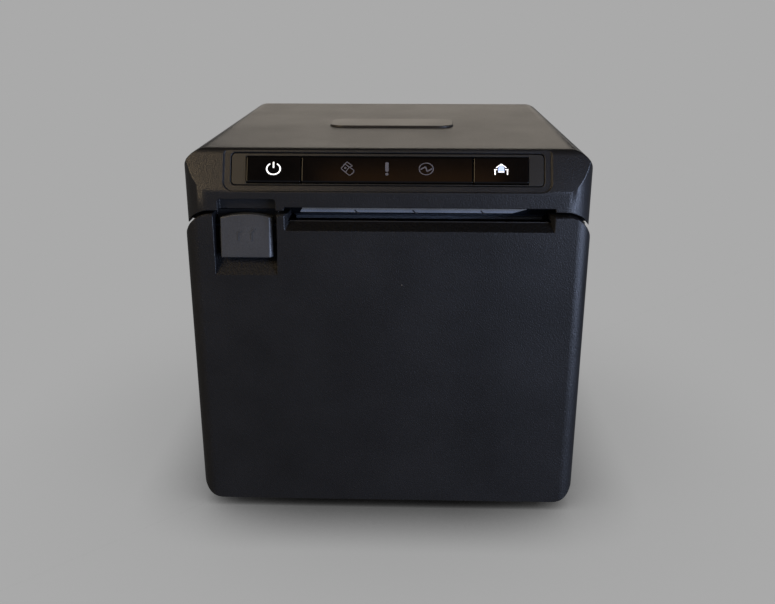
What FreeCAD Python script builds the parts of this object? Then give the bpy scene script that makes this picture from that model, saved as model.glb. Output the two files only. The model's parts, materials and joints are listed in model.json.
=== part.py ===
import FreeCAD, Part
import math
import os
import re

import Sketcher

V = FreeCAD.Vector

# Driving dimensions in millimetres and degrees; each becomes one aliased cell of the sheet.
SIZES = {
    # Whole printer
    "case_width": 127, "case_depth": 130, "case_height": 123, "foot_height": 3, "wall": 2.2,
    "base_thick": 2, "fit": 0.2, "running_fit": 0.05, "screw_radius": 1.2,
    "foot_radius": 6, "foot_sink": 0.5, "foot_inset": 17.5, "foot_front": 25, "foot_rear": 13,
    # Front cover and its hinge
    "cover_depth": 13, "cover_gap": 0.6, "seam_gap": 1,
    "cover_top_round": 9.2, "cover_foot_round": 7.2, "cover_edge_round": 5, "swing_round": 7,
    "hinge_pin_radius": 1.5, "knuckle_radius": 3.2, "knuckle_length": 4, "ear_width": 4.6,
    "ear_play": 0.4, "ear_reach": 3.5, "cover_roof": 8,
    "liner_inset": 8.3, "liner_thick": 2, "liner_foot": 18, "boss_radius": 3, "liner_screw_inset": 13.5,
    "liner_screw_low": 30,
    # Upper casing
    "facet_setback": 5.5, "brow_round": 3, "facet_round": 4, "top_edge_round": 8,
    "case_edge_round": 9, "rear_edge_round": 5, "rear_top_round": 4, "side_seam": 0.4,
    "tab_length": 12, "tab_reach": 5, "tab_thick": 1.5,
    # Control panel, measured along the sloped facet
    "panel_inset": 15.7, "panel_height": 9.8, "panel_foot": 2.4, "panel_sink": 0.8, "panel_thick": 1,
    "bevel_width": 2.4, "bevel_depth": 0.5, "plate_round": 1.2, "surround_round": 3, "panel_room": 12,
    "backing_depth": 3.6,
    "strip_foot": 3, "strip_height": 8.2, "strip_inset": 4.7, "button_width": 17, "strip_gap": 0.45,
    "strip_sink": 0.3, "button_flange": 1, "flange_thick": 0.6, "strip_round": 0.6,
    "lamp_pitch": 12, "lamp_radius": 1.1, "lamp_height": 1.6, "panel_board_depth": 7.2,
    "board_thick": 1.4, "board_overhang": 1.2, "switch_size": 5, "switch_height": 1.6, "plunger_radius": 1.2,
    "plunger_height": 0.4, "board_post_radius": 1.5,
    # Badge plate on the top
    "badge_width": 44, "badge_length": 19, "badge_centre": 61, "badge_round": 5, "badge_proud": 0.7,
    "badge_sink": 0.5,
    # Paper path
    "gear_side": 33.5, "plain_side": 13.5, "slot_margin": 3.4,
    "lip_depth": 2.4, "lip_rise": 2.8, "end_bevel": 1.2, "path_slope": 15, "ledge_thick": 1.6,
    "tear_bar_height": 5.6, "tear_bar_thick": 0.8,
    # Platen
    "platen_inset": 20, "platen_radius": 5, "shaft_radius": 2, "rubber_margin": 0.5,
    "bush_radius": 4, "bush_play": 0.15, "notch_lift": 1.2, "arm_thick": 2.3, "arm_gap": 1.3,
    "arm_reach": 4.5, "arm_half_height": 4.6, "arm_round": 3,
    # Mechanism frame
    "frame_margin": 4.8, "sheet": 1.2,
    "frame_boss_radius": 3, "frame_screw_front": 60, "frame_screw_rear": 87,
    "horn_inset": 9, "horn_lean": 4, "bush_land": 1, "frame_dip": 8, "frame_slope": 12, "frame_edge": 5,
    "brace_rear": 60, "roof_front": 2, "roof_rear": 56, "feed_edge": 13, "cutter_edge": 7, "post_radius": 2,
    # Feed gears
    "gear_module": 0.5, "pressure_angle": 20, "addendum": 0.8, "dedendum": 1.05, "backlash": 0.14,
    "gear_width": 3.2, "gear_space": 0.7, "platen_teeth": 24, "idler_teeth": 36, "pinion_teeth": 14,
    "idler_drop": 8, "pinion_drop": 60, "stud_radius": 1.5, "motor_shaft_radius": 1,
    "feed_motor_radius": 14, "feed_motor_length": 14.5, "motor_boss_radius": 3, "motor_fit": 0.5,
    # Print head
    "head_gap": 0.3, "head_margin": 1, "head_front": 3.5, "head_length": 17.5, "head_thick": 4.5,
    "ceramic_front": 3, "ceramic_length": 7, "ceramic_thick": 1.1, "head_pin_radius": 1.5,
    "head_pin_back": 12.5, "head_pin_rise": 3.6, "spring_radius": 2.6, "spring_wire": 0.35,
    "spring_turns": 5, "spring_back": 4, "spring_spread": 20, "spring_lift": 0.95, "spring_gap": 0.1,
    "fin_depth": 1.6, "fin_width": 1.8,
    # Cutter
    "blade_inset": 12.1, "blade_thick": 0.8, "blade_rake": 2.2,
    "rack_thick": 1.6, "rack_width": 3.6, "blade_play": 0.15,
    "cutter_shaft_radius": 1.5, "rack_teeth": 12, "cutter_teeth": 30,
    "cutter_pinion_teeth": 12, "cutter_gear_width": 2.8, "cutter_lean": 20, "plane_space": 0.8,
    "cutter_motor_radius": 7.6, "cutter_motor_length": 15, "guard_thick": 1.2,
    "fixed_blade_height": 7, "fixed_blade_thick": 1.6, "rail_depth": 8,
    # Open lever
    "lever_width": 16.4, "lever_inset": 19.6, "lever_lean": 2,
    "lever_thick": 2.6, "lever_round": 1.2, "lever_arch": 1.1, "lever_bevel": 0.9, "scoop_width": 19.7,
    "scoop_shift": 0.15, "scoop_depth": 7, "scoop_wall": 1.8, "scoop_back": 1.1,
    "lever_pin_inset": 4.8, "lever_pin_radius": 0.9, "lever_boss_radius": 1.9,
    "hook_shift": 6.1, "hook_width": 3.4, "hook_reach": 16.5,
    "nose_depth": 1.5, "strike_height": 4, "strike_thick": 1.3,
    "strike_gap": 0.3, "hook_drop": 4, "coil_radius": 1.45, "coil_wire": 0.25, "coil_turns": 4,
    "coil_length": 4, "finger_width": 17.8, "finger_shift": 0.65, "finger_depth": 3,
    # Paper bin and guide
    "roll_front": 32, "board_gap": 2.3, "bin_wall": 1.5, "bin_side": 2, "bin_margin": 2,
    "bin_mouth": 22, "bin_mouth_rear": 85, "bin_foot": 22, "bin_foot_rise": 5,
    "guide_front": 27, "guide_length": 11, "guide_rise": 7.4, "guide_thick": 1.5,
    "sensor_width": 10, "sensor_depth": 3, "sensor_height": 3,
    "rib_thick": 1.6, "rib_spread": 25, "rib_foot": 24, "rib_reach": 22, "rib_gap": 2,
    # Rear electronics
    "board_rear": 12.2, "board_width": 100, "board_foot": 8, "board_height": 76, "socket_height": 21,
    "socket_reach": 10.6, "socket_wall": 1.4, "socket_bottom": 2, "bay_width": 92, "bay_foot": 10,
    "bay_height": 22, "plate_margin": 2, "plate_thick": 1,
    "power_side": -34, "power_width": 15, "power_tall": 13, "power_bore": 5,
    "usb_side": -11.5, "usb_width": 12, "usb_tall": 11,
    "lan_side": 10, "lan_width": 16, "lan_tall": 13.4,
    "drawer_side": 33, "drawer_width": 14, "drawer_tall": 12.6,
    "board_post_inset": 6, "post_low": 45, "post_high": 78,
    # Base screws
    "base_screw_inset": 6.5, "base_screw_front": 21, "base_screw_rear": 8, "screw_post": 7,
    "screw_post_top": 20, "screw_head_radius": 2.6, "screw_head": 1.2, "screw_length": 9,
    "recess_width": 0.7, "recess_depth": 0.6,
}

# Heights in millimetres below the casing's top; each becomes one cell, its alias ending in _drop.
DROPS = {
    "cover_top": 19.5, "facet_foot": 12.5, "liner_screw_high": 49, "rib_top": 53, "slot_top": 17.4,
    "lip_front": 24.7, "tear_bar_foot": 19.3, "platen_height": 31, "frame_top": 9.8, "frame_foot": 53,
    "horn_foot": 21.7, "horn_top": 15, "frame_screw_height": 47, "blade_rest": 21.4, "blade_top": 11,
    "rack_foot": 18, "rack_top": 8.6, "cutter_shaft_height": 16, "guard_foot": 21.6,
    "fixed_blade_top": 24.3, "lever_foot": 33.6, "lever_top": 20, "scoop_foot": 39.2,
    "scoop_floor_top": 30, "lever_pin_height": 24, "hook_foot": 25.4, "hook_top": 23.5,
    "nose_top": 21.6, "strike_foot": 22.8, "finger_top": 14.9, "guide_foot": 39.6,
}

# Sizes and places that follow from the driving dimensions
DERIVED = {
    "paper_width": "(case_width - gear_side - plain_side)",
    "path_centre": "((gear_side - plain_side) / 2)",
    "slot_width": "(paper_width + slot_margin)",
    "head_half": "(paper_width / 2 + head_margin)",
    "roll_radius": "((case_depth - roll_front - bin_wall - board_gap - board_rear) / 2)",
    "roll_inset": "(roll_front + roll_radius)",
    "lever_centre": "(case_width / 2 - lever_inset)",
    "scoop_centre": "(lever_centre + scoop_shift)",
    "hook_outer": "(lever_centre + hook_shift)",
    "finger_centre": "(lever_centre - finger_shift)",
    "foot_side": "(case_width / 2 - foot_inset)",
    "base_screw_side": "(case_width / 2 - base_screw_inset)",
    "liner_screw_side": "(case_width / 2 - liner_screw_inset)",
    "post_side": "(board_width / 2 - board_post_inset)",
    "panel_width": "(case_width - 2 * panel_inset)",
    "strip_width": "(panel_width - 2 * strip_inset)",
    "window_width": "(strip_width - 2 * button_width)",
    "panel_board_width": "(panel_width + 2 * board_overhang)",
}

DOC = FreeCAD.newDocument("receipt_printer")
SHEET = DOC.addObject("Spreadsheet::Sheet", "Dims")
PIECES = {}

# Places worked out from the driving dimensions, as sheet expressions
FRONT = "(-case_depth / 2)"
REAR = "(case_depth / 2)"
HALF = "(case_width / 2)"
INNER = f"({HALF} - wall)"
HINGE_Y = f"({FRONT} + cover_depth - swing_round)"
HINGE_Z = "(foot_height + swing_round)"
BODY_FRONT = f"({FRONT} + cover_depth + cover_gap)"
SIDE_SEAM = ("(cover_top - cover_top_round + sqrt((cover_top_round + seam_gap) ^ 2"
             " - cover_top_round ^ 2))")
EAR_OUT = f"({INNER} - knuckle_length - fit)"
EAR_IN = f"({EAR_OUT} - ear_width)"
LINER_Y = f"({FRONT} + liner_inset)"
LINER_BACK = f"({LINER_Y} + liner_thick)"
SLOT_LOW = "(path_centre - slot_width / 2)"
SLOT_HIGH = "(path_centre + slot_width / 2)"
PASS_LOW = f"({SLOT_LOW} + end_bevel)"
PASS_HIGH = f"({SLOT_HIGH} - end_bevel)"
PLATEN_Y = f"({FRONT} + platen_inset)"
NIP_Y = f"({PLATEN_Y} + platen_radius * sin(path_slope))"
NIP_Z = "(platen_height + platen_radius * cos(path_slope))"
PLATE_LEFT = "(path_centre - paper_width / 2 - frame_margin)"
PLATE_RIGHT = "(path_centre + paper_width / 2 + frame_margin)"
FRAME_TOP_UNDER = "(frame_top - sheet)"
FEED_HIGH = f"({PLATE_LEFT} - sheet - gear_space)"
FEED_LOW = f"({FEED_HIGH} - gear_width)"
CUT_HIGH = f"({FEED_LOW} - plane_space)"
CUT_LOW = f"({CUT_HIGH} - cutter_gear_width)"
GEAR_PLATE_HIGH = f"({CUT_LOW} - motor_fit)"
GEAR_PLATE_LOW = f"({GEAR_PLATE_HIGH} - sheet)"
IDLER_REACH = "(gear_module * (platen_teeth + idler_teeth) / 2)"
IDLER_Y = f"({PLATEN_Y} + {IDLER_REACH} * cos(idler_drop))"
IDLER_Z = f"(platen_height - {IDLER_REACH} * sin(idler_drop))"
PINION_REACH = "(gear_module * (idler_teeth + pinion_teeth) / 2)"
PINION_Y = f"({IDLER_Y} + {PINION_REACH} * cos(pinion_drop))"
PINION_Z = f"({IDLER_Z} - {PINION_REACH} * sin(pinion_drop))"
BLADE_Y = f"({FRONT} + blade_inset)"
BLADE_BACK = f"({BLADE_Y} + blade_thick)"
RACK_LINE = f"({BLADE_BACK} + rack_thick - addendum * gear_module)"
CUTTER_Y = f"({RACK_LINE} + gear_module * rack_teeth / 2)"
CUTTER_Z = "cutter_shaft_height"
CUT_REACH = "(gear_module * (cutter_teeth + cutter_pinion_teeth) / 2)"
CUT_PINION_Y = f"({CUTTER_Y} + {CUT_REACH} * cos(cutter_lean))"
CUT_PINION_Z = f"({CUTTER_Z} + {CUT_REACH} * sin(cutter_lean))"
LEVER_PIN_Y = f"({FRONT} + lever_pin_inset)"
LEVER_LOW = "(-lever_centre - lever_width / 2)"
LEVER_HIGH = "(-lever_centre + lever_width / 2)"
SCOOP_LOW = "(-scoop_centre - scoop_width / 2)"
SCOOP_HIGH = "(-scoop_centre + scoop_width / 2)"
SCOOP_BACK = f"({FRONT} + scoop_depth)"
NOSE_BACK = f"({FRONT} + hook_reach)"
NOSE_FRONT = f"({NOSE_BACK} - nose_depth)"
ROLL_Y = f"({FRONT} + roll_inset)"
ROLL_Z = "(foot_height + base_thick + bin_wall + roll_radius)"
BIN_LOW = "(path_centre - paper_width / 2 - bin_margin)"
BIN_HIGH = "(path_centre + paper_width / 2 + bin_margin)"
BOARD_Y = f"({REAR} - board_rear)"
TILT = "atan(facet_setback / (case_height - facet_foot))"
FLOOR_TOP = "(foot_height + base_thick)"

# Tilted frames: local y runs along the face, local z is its outward normal.
PANEL = {"y": FRONT, "z": "facet_foot", "sign": 1, "angle": f"90 deg - {TILT}",
         "cos": f"sin({TILT})", "sin": f"cos({TILT})"}
HEAD = {"y": NIP_Y, "z": NIP_Z, "sign": -1, "angle": "path_slope * 1 deg",
        "cos": "cos(path_slope)", "sin": "(-sin(path_slope))"}


def fill_sheet():
    cells = SIZES | {f"{name}_drop": value for name, value in DROPS.items()}
    for row, (alias, value) in enumerate(cells.items(), start=1):
        SHEET.set(f"A{row}", alias)
        SHEET.set(f"B{row}", str(value))
        SHEET.setAlias(f"B{row}", alias)
    DOC.recompute()


def cell(match):
    """What one word of an expression stands for in the sheet."""
    name = match.group()
    if name in DERIVED:
        return ex(DERIVED[name])
    if name in DROPS:
        return f"(Dims.case_height - Dims.{name}_drop)"
    return f"Dims.{name}" if name in SIZES else name


def ex(text):
    """An expression with every size name pointed at its cell."""
    return re.sub(r"[a-z][a-z_]*", cell, str(text))


def num(text):
    """The present value of an expression, as the sheet works it out."""
    return float(SHEET.evalExpression(ex(text)))


def bind(obj, **expressions):
    for name, text in expressions.items():
        obj.setExpression(name.replace("__", "."), ex(text))


def block(label, x, y, z):
    """A box between two expressions on each axis."""
    box = DOC.addObject("Part::Box", label)
    bind(box, Length=f"{x[1]} - ({x[0]})", Width=f"{y[1]} - ({y[0]})", Height=f"{z[1]} - ({z[0]})",
         Placement__Base__x=x[0], Placement__Base__y=y[0], Placement__Base__z=z[0])
    return box


AXES = {"X": FreeCAD.Rotation(V(0, 1, 0), 90), "Y": FreeCAD.Rotation(V(1, 0, 0), -90),
        "Z": FreeCAD.Rotation()}


def rod(label, axis, start, end, centre, radius):
    """A cylinder along one axis, from start to end, round the other two coordinates."""
    cylinder = DOC.addObject("Part::Cylinder", label)
    cylinder.Placement = FreeCAD.Placement(V(), AXES[axis])
    base = dict(zip([a for a in "xyz" if a != axis.lower()], centre))
    base[axis.lower()] = start
    bind(cylinder, Radius=radius, Height=f"{end} - ({start})", Placement__Base__x=base["x"],
         Placement__Base__y=base["y"], Placement__Base__z=base["z"])
    return cylinder


def tilt(obj, frame, x="0", along="0", normal="0"):
    """Place an object made flat on the XY plane in one of the tilted frames."""
    obj.Placement = FreeCAD.Placement(V(), FreeCAD.Rotation(V(frame["sign"], 0, 0), 45))
    bind(obj, Placement__Base__x=x, Placement__Rotation__Angle=frame["angle"],
         Placement__Base__y=f"{frame['y']} + ({along}) * {frame['cos']} - ({normal}) * {frame['sin']}",
         Placement__Base__z=f"{frame['z']} + ({along}) * {frame['sin']} + ({normal}) * {frame['cos']}")
    return obj


def tilted_block(label, frame, x, along, normal):
    box = DOC.addObject("Part::Box", label)
    bind(box, Length=f"{x[1]} - ({x[0]})", Width=f"{along[1]} - ({along[0]})",
         Height=f"{normal[1]} - ({normal[0]})")
    return tilt(box, frame, x[0], along[0], normal[0])


def tilted_rod(label, frame, centre, normal, radius):
    cylinder = DOC.addObject("Part::Cylinder", label)
    bind(cylinder, Radius=radius, Height=f"{normal[1]} - ({normal[0]})")
    return tilt(cylinder, frame, centre[0], centre[1], normal[0])


# Sign of each sketch plane's normal along the world axis that it looks down
PLANES = {"YZ_Plane": 1, "XZ_Plane": -1, "XY_Plane": 1}


def outline(body, plane, points, offset):
    """A closed polygon on an origin plane of the body, every corner bound to the sheet."""
    sketch = body.newObject("Sketcher::SketchObject", body.Name + "_outline")
    support = next(o for o in body.Origin.OriginFeatures if o.Role == plane)
    sketch.AttachmentSupport = [(support, "")]
    sketch.MapMode = "FlatFace"
    bind(sketch, AttachmentOffset__Base__z=offset)
    corners = [V(num(a), num(b), 0) for a, b in points]
    for i, corner in enumerate(corners):
        sketch.addGeometry(Part.LineSegment(corner, corners[(i + 1) % len(corners)]), False)
    for i, point in enumerate(points):
        sketch.addConstraint(Sketcher.Constraint("Coincident", i, 2, (i + 1) % len(points), 1))
        for kind, text in zip(("DistanceX", "DistanceY"), point):
            index = sketch.addConstraint(Sketcher.Constraint(kind, -1, 1, i, 1, num(text)))
            sketch.setExpression(f"Constraints[{index}]", ex(text))
    return sketch


def prism(label, plane, points, start, end):
    """A body: a polygon padded between two places along the plane's axis."""
    body = DOC.addObject("PartDesign::Body", label)
    offset = start if PLANES[plane] > 0 else f"-({end})"
    sketch = outline(body, plane, points, offset)
    pad = body.newObject("PartDesign::Pad", label + "_pad")
    pad.Profile = sketch
    bind(pad, Length=f"{end} - ({start})")
    DOC.recompute()
    return body


def rectangle(first, second):
    return [(first[0], second[0]), (first[1], second[0]), (first[1], second[1]), (first[0], second[1])]


NEAR = 0.01


def soften(body, radius, axis, *spots):
    """Round the body's straight edges along an axis that stand at the given places."""
    others = [a for a in "xyz" if a != axis.lower()]
    wanted = [tuple(num(s) for s in spot) for spot in spots]
    names = []
    for index, edge in enumerate(body.Shape.Edges, start=1):
        ends = [v.Point for v in edge.Vertexes]
        here = [tuple(getattr(p, a) for a in others) for p in ends]
        if any(all(math.dist(h, spot) < NEAR for h in here) for spot in wanted):
            names.append(f"Edge{index}")
    fillet = body.newObject("PartDesign::Fillet", body.Name + "_round")
    fillet.Base = (fillet.BaseFeature, names)
    bind(fillet, Radius=radius)
    DOC.recompute()
    return body


def bevel(body, size, *ends):
    """Chamfer the body's edge between two corners."""
    wanted = [V(*[num(c) for c in end]) for end in ends]
    names = [f"Edge{i}" for i, edge in enumerate(body.Shape.Edges, start=1)
             if all(min(v.Point.distanceToPoint(w) for v in edge.Vertexes) < NEAR for w in wanted)]
    chamfer = body.newObject("PartDesign::Chamfer", body.Name + "_bevel")
    chamfer.Base = (chamfer.BaseFeature, names)
    bind(chamfer, Size=size)
    DOC.recompute()
    return body


def cut(label, base, *tools):
    result = DOC.addObject("Part::Cut", label)
    result.Base = base
    result.Tool = tools[0] if len(tools) == 1 else fuse(label + "_tools", *tools)
    return result


def fuse(label, *parts):
    result = DOC.addObject("Part::MultiFuse", label)
    result.Shapes = list(parts)
    result.Refine = True
    return result


def common(label, *parts):
    result = DOC.addObject("Part::MultiCommon", label)
    result.Shapes = list(parts)
    return result


def group(label, parts):
    result = DOC.addObject("Part::Compound", label)
    result.Links = list(parts)
    return result


def feature(label, shape, place=None):
    """A shape that no primitive makes, built at the origin and then placed."""
    result = DOC.addObject("Part::Feature", label)
    result.Shape = shape
    result.Placement = place or FreeCAD.Placement()
    return result


def piece(node, obj):
    obj.Label = node
    PIECES[node] = obj
    return obj


def rounded_block(label, x, y, z, radius, front_only=False):
    """A box with its upright edges rounded, all four or the front two."""
    body = prism(label, "XY_Plane", rectangle(x, y), z[0], z[1])
    sides = [y[0]] if front_only else list(y)
    return soften(body, radius, "Z", *[(a, b) for a in x for b in sides])


def screw(label, axis, seat, centre, outward, length):
    """A pan head standing outward of its seat, a shank behind it, and a cross recess."""
    tip = f"{seat} - ({outward}) * ({length})"
    crown = f"{seat} + ({outward}) * screw_head"
    dip = f"{seat} + ({outward}) * (screw_head - recess_depth)"
    spans = [sorted(pair, key=num) for pair in ((seat, crown), (tip, seat), (dip, crown))]
    head = rod(label + "_head", axis, *spans[0], centre, "screw_head_radius")
    shank = rod(label + "_shank", axis, *spans[1], centre, "screw_radius")
    slots = []
    for turn, (wide, narrow) in enumerate((("screw_head_radius", "recess_width"),
                                           ("recess_width", "screw_head_radius"))):
        sides = [(f"{centre[0]} - {wide} / 2", f"{centre[0]} + {wide} / 2"),
                 (f"{centre[1]} - {narrow} / 2", f"{centre[1]} + {narrow} / 2")]
        sides.insert("XYZ".index(axis), spans[2])
        slots.append(block(f"{label}_slot{turn}", *sides))
    return cut(label, fuse(label + "_blank", head, shank), *slots)


def gear_outline(teeth, phase):
    """The closed wire of a spur gear about the origin, in the YZ plane; phase turns its first tooth."""
    module, alpha = num("gear_module"), math.radians(num("pressure_angle"))
    pitch = module * teeth / 2
    base = pitch * math.cos(alpha)
    tip = pitch + module * num("addendum")
    root = pitch - module * num("dedendum")
    half = (math.pi * module / 2 - num("backlash")) / (2 * pitch)

    def spread(radius):
        """Half the tooth's angle at a radius: the involute narrows it outward."""
        slope = math.acos(min(1, base / radius))
        return half + (math.tan(alpha) - alpha) - (math.tan(slope) - slope)

    def at(radius, angle):
        return V(0, radius * math.cos(angle), radius * math.sin(angle))

    low = max(root, base)
    middle = (low + tip) / 2
    edges = []
    for tooth in range(teeth):
        centre = phase + tooth * 2 * math.pi / teeth
        after = centre + 2 * math.pi / teeth
        rise = [at(r, centre - spread(r)) for r in (low, middle, tip)]
        fall = [at(r, centre + spread(r)) for r in (tip, middle, low)]
        foot_out = at(root, centre + spread(low))
        foot_next = at(root, after - spread(low))
        edges.append(Part.Arc(*rise).toShape())
        edges.append(Part.Arc(rise[2], at(tip, centre), fall[0]).toShape())
        edges.append(Part.Arc(*fall).toShape())
        if root < base:
            edges.append(Part.LineSegment(fall[2], foot_out).toShape())
        edges.append(Part.Arc(foot_out, at(root, (centre + after) / 2), foot_next).toShape())
        if root < base:
            edges.append(Part.LineSegment(foot_next, at(low, after - spread(low))).toShape())
    return Part.Wire(edges)


def gear(label, teeth, phase, width, bore, place):
    """A spur gear along X with a plain bore, set at its low end."""
    disc = Part.Face(gear_outline(round(num(teeth)), phase)).extrude(V(num(width), 0, 0))
    hole = Part.makeCylinder(num(bore), num(width), V(), V(1, 0, 0))
    return feature(label, disc.cut(hole), FreeCAD.Placement(V(*[num(p) for p in place]),
                                                            FreeCAD.Rotation()))


def meshed(phase, teeth, other_teeth, direction):
    """Phase of a second gear, lying in a direction from the first, so that its gap meets a tooth."""
    pitch = 2 * math.pi / num(other_teeth)
    ratio = num(teeth) / num(other_teeth)
    return direction + math.pi - pitch / 2 - ratio * (phase - direction)


WIRE_SIDES = 6


def coil(radius, wire, turns, length):
    """A helix along Z of six-sided wire, its centre line from 0 to its length."""
    path = Part.makeHelix(length / turns, length, radius)
    angles = [2 * math.pi * i / WIRE_SIDES for i in range(WIRE_SIDES + 1)]
    section = Part.makePolygon([V(radius + wire * math.cos(a), 0, wire * math.sin(a)) for a in angles])
    return Part.Wire(path.Edges).makePipeShell([section], True, True)


# Housing


def make_base_plate():
    plate = rounded_block("base_blank", (f"-{INNER} + fit", f"{INNER} - fit"),
                          (BODY_FRONT, f"{REAR} - wall - fit"), ("foot_height", FLOOR_TOP),
                          "rear_edge_round - wall")
    ears = []
    for name, low, high in (("left", f"-{EAR_OUT}", f"-{EAR_IN}"), ("right", EAR_IN, EAR_OUT)):
        span = (low, high)
        ears.append(rod(f"ear_eye_{name}", "X", low, high, (HINGE_Y, HINGE_Z), "knuckle_radius"))
        ears.append(block(f"ear_arm_{name}", span, (HINGE_Y, f"{BODY_FRONT} + ear_reach"),
                          (f"{HINGE_Z} - knuckle_radius", f"{HINGE_Z} + knuckle_radius")))
        ears.append(block(f"ear_foot_{name}", span, (BODY_FRONT, f"{BODY_FRONT} + ear_reach"),
                          ("foot_height", HINGE_Z)))
    holes = [rod("ear_bore", "X", f"-{HALF}", HALF, (HINGE_Y, HINGE_Z),
                 "hinge_pin_radius + running_fit / 5")]
    for name, x, y in foot_places():
        holes.append(rod(f"foot_seat_{name}", "Z", "foot_height", "foot_height + foot_sink", (x, y),
                         "foot_radius + fit"))
    for name, x, y in base_screw_places():
        holes.append(rod(f"base_hole_{name}", "Z", "foot_height", FLOOR_TOP, (x, y),
                         "screw_radius + fit"))
        holes.append(rod(f"base_sink_{name}", "Z", "foot_height", "foot_height + screw_head", (x, y),
                         "screw_head_radius + fit"))
    piece("base_plate", cut("base_cut", fuse("base_sum", plate, *ears), *holes))


def foot_places():
    return [(f"{side}{end}", f"{sign} * foot_side", y) for side, sign in (("l", -1), ("r", 1))
            for end, y in (("f", f"({FRONT} + foot_front)"), ("r", f"({REAR} - foot_rear)"))]


def base_screw_places():
    return [(f"{side}{end}", f"{sign} * base_screw_side", y) for side, sign in (("l", -1), ("r", 1))
            for end, y in (("f", f"({FRONT} + base_screw_front)"), ("r", f"({REAR} - base_screw_rear)"))]


def make_feet_and_base_screws():
    feet = [rod(f"foot_{name}", "Z", "0", "foot_height + foot_sink", (x, y), "foot_radius")
            for name, x, y in foot_places()]
    piece("rubber_feet", group("feet", feet))
    seat = "(foot_height + screw_head)"
    screws = [screw(f"base_screw_{name}", "Z", seat, (x, y), "-1", "screw_length")
              for name, x, y in base_screw_places()]
    piece("base_screws", group("base_screw_set", screws))


def make_body_shell():
    top = f"({SIDE_SEAM} - side_seam)"
    outer = prism("shell_outer", "XY_Plane", rectangle((f"-{HALF}", HALF), (BODY_FRONT, REAR)),
                  "foot_height", top)
    soften(outer, "rear_edge_round", "Z", (f"-{HALF}", REAR), (HALF, REAR))
    inner = prism("shell_inner", "XY_Plane",
                  rectangle((f"-{INNER}", INNER), (f"{BODY_FRONT} - wall", f"{REAR} - wall")), "0",
                  "case_height")
    soften(inner, "rear_edge_round - wall", "Z", (f"-{INNER}", f"{REAR} - wall"),
           (INNER, f"{REAR} - wall"))
    walls = cut("shell_walls", outer, inner)
    added, holes = [], []
    for name, x, y in base_screw_places():
        edge = "(base_screw_side - screw_post / 2)"
        wall = f"({HALF} - wall / 2)"
        post = (f"-{wall}", f"-{edge}") if name.startswith("l") else (edge, wall)
        added.append(block(f"screw_post_{name}", post, (f"{y} - screw_post / 2", f"{y} + screw_post / 2"),
                           (FLOOR_TOP, "screw_post_top")))
        holes.append(rod(f"pilot_{name}", "Z", FLOOR_TOP, "screw_post_top", (x, y),
                         "screw_radius + fit / 4"))
    for name, x, z in board_posts():
        added.append(rod(f"board_post_{name}", "Y", f"{BOARD_Y} + board_thick", f"{REAR} - wall", (x, z),
                         "boss_radius"))
    bay = prism("bay_hole", "XZ_Plane", rectangle(("-bay_width / 2", "bay_width / 2"),
                                                  ("bay_foot", "bay_foot + bay_height")),
                f"{REAR} - 2 * wall", f"{REAR} + wall")
    soften(bay, "wall", "Y", *[(x, z) for x in ("-bay_width / 2", "bay_width / 2")
                               for z in ("bay_foot", "bay_foot + bay_height")])
    solid = fuse("shell_sum", walls, *added)
    piece("body_shell", cut("shell_cut", solid, bay, *holes))


def casing_form(label, inset, foot):
    """The upper casing's outer form, or its hollow when inset by the wall: three views intersected."""
    front, rear = f"({FRONT} + {inset})", f"({REAR} - {inset})"
    half, top = f"({HALF} - {inset})", f"(case_height - {inset})"
    lean = f"{inset} * tan({TILT} / 2)"
    knee = f"(facet_foot - {lean})"
    brow = f"({front} + facet_setback - {inset} * (tan({TILT}) - tan({TILT} / 2)))"
    profile = [(front, foot), (front, knee), (brow, top), (rear, top), (rear, foot)]
    side = prism(label + "_side", "YZ_Plane", profile, f"-{half}", half)
    soften(side, f"brow_round - {inset} / 2", "X", (brow, top))
    soften(side, f"facet_round + {inset} / 2", "X", (front, knee))
    soften(side, f"rear_top_round - {inset} / 2", "X", (rear, top))
    face = prism(label + "_face", "XZ_Plane", rectangle((f"-{half}", half), (foot, top)), front, rear)
    soften(face, f"top_edge_round - {inset}", "Y", (f"-{half}", top), (half, top))
    plan = prism(label + "_plan", "XY_Plane", rectangle((f"-{half}", half), (front, rear)), foot, top)
    soften(plan, f"case_edge_round - {inset}", "Z", (f"-{half}", front), (half, front))
    soften(plan, f"rear_edge_round - {inset}", "Z", (f"-{half}", rear), (half, rear))
    return common(label, side, face, plan)


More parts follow.
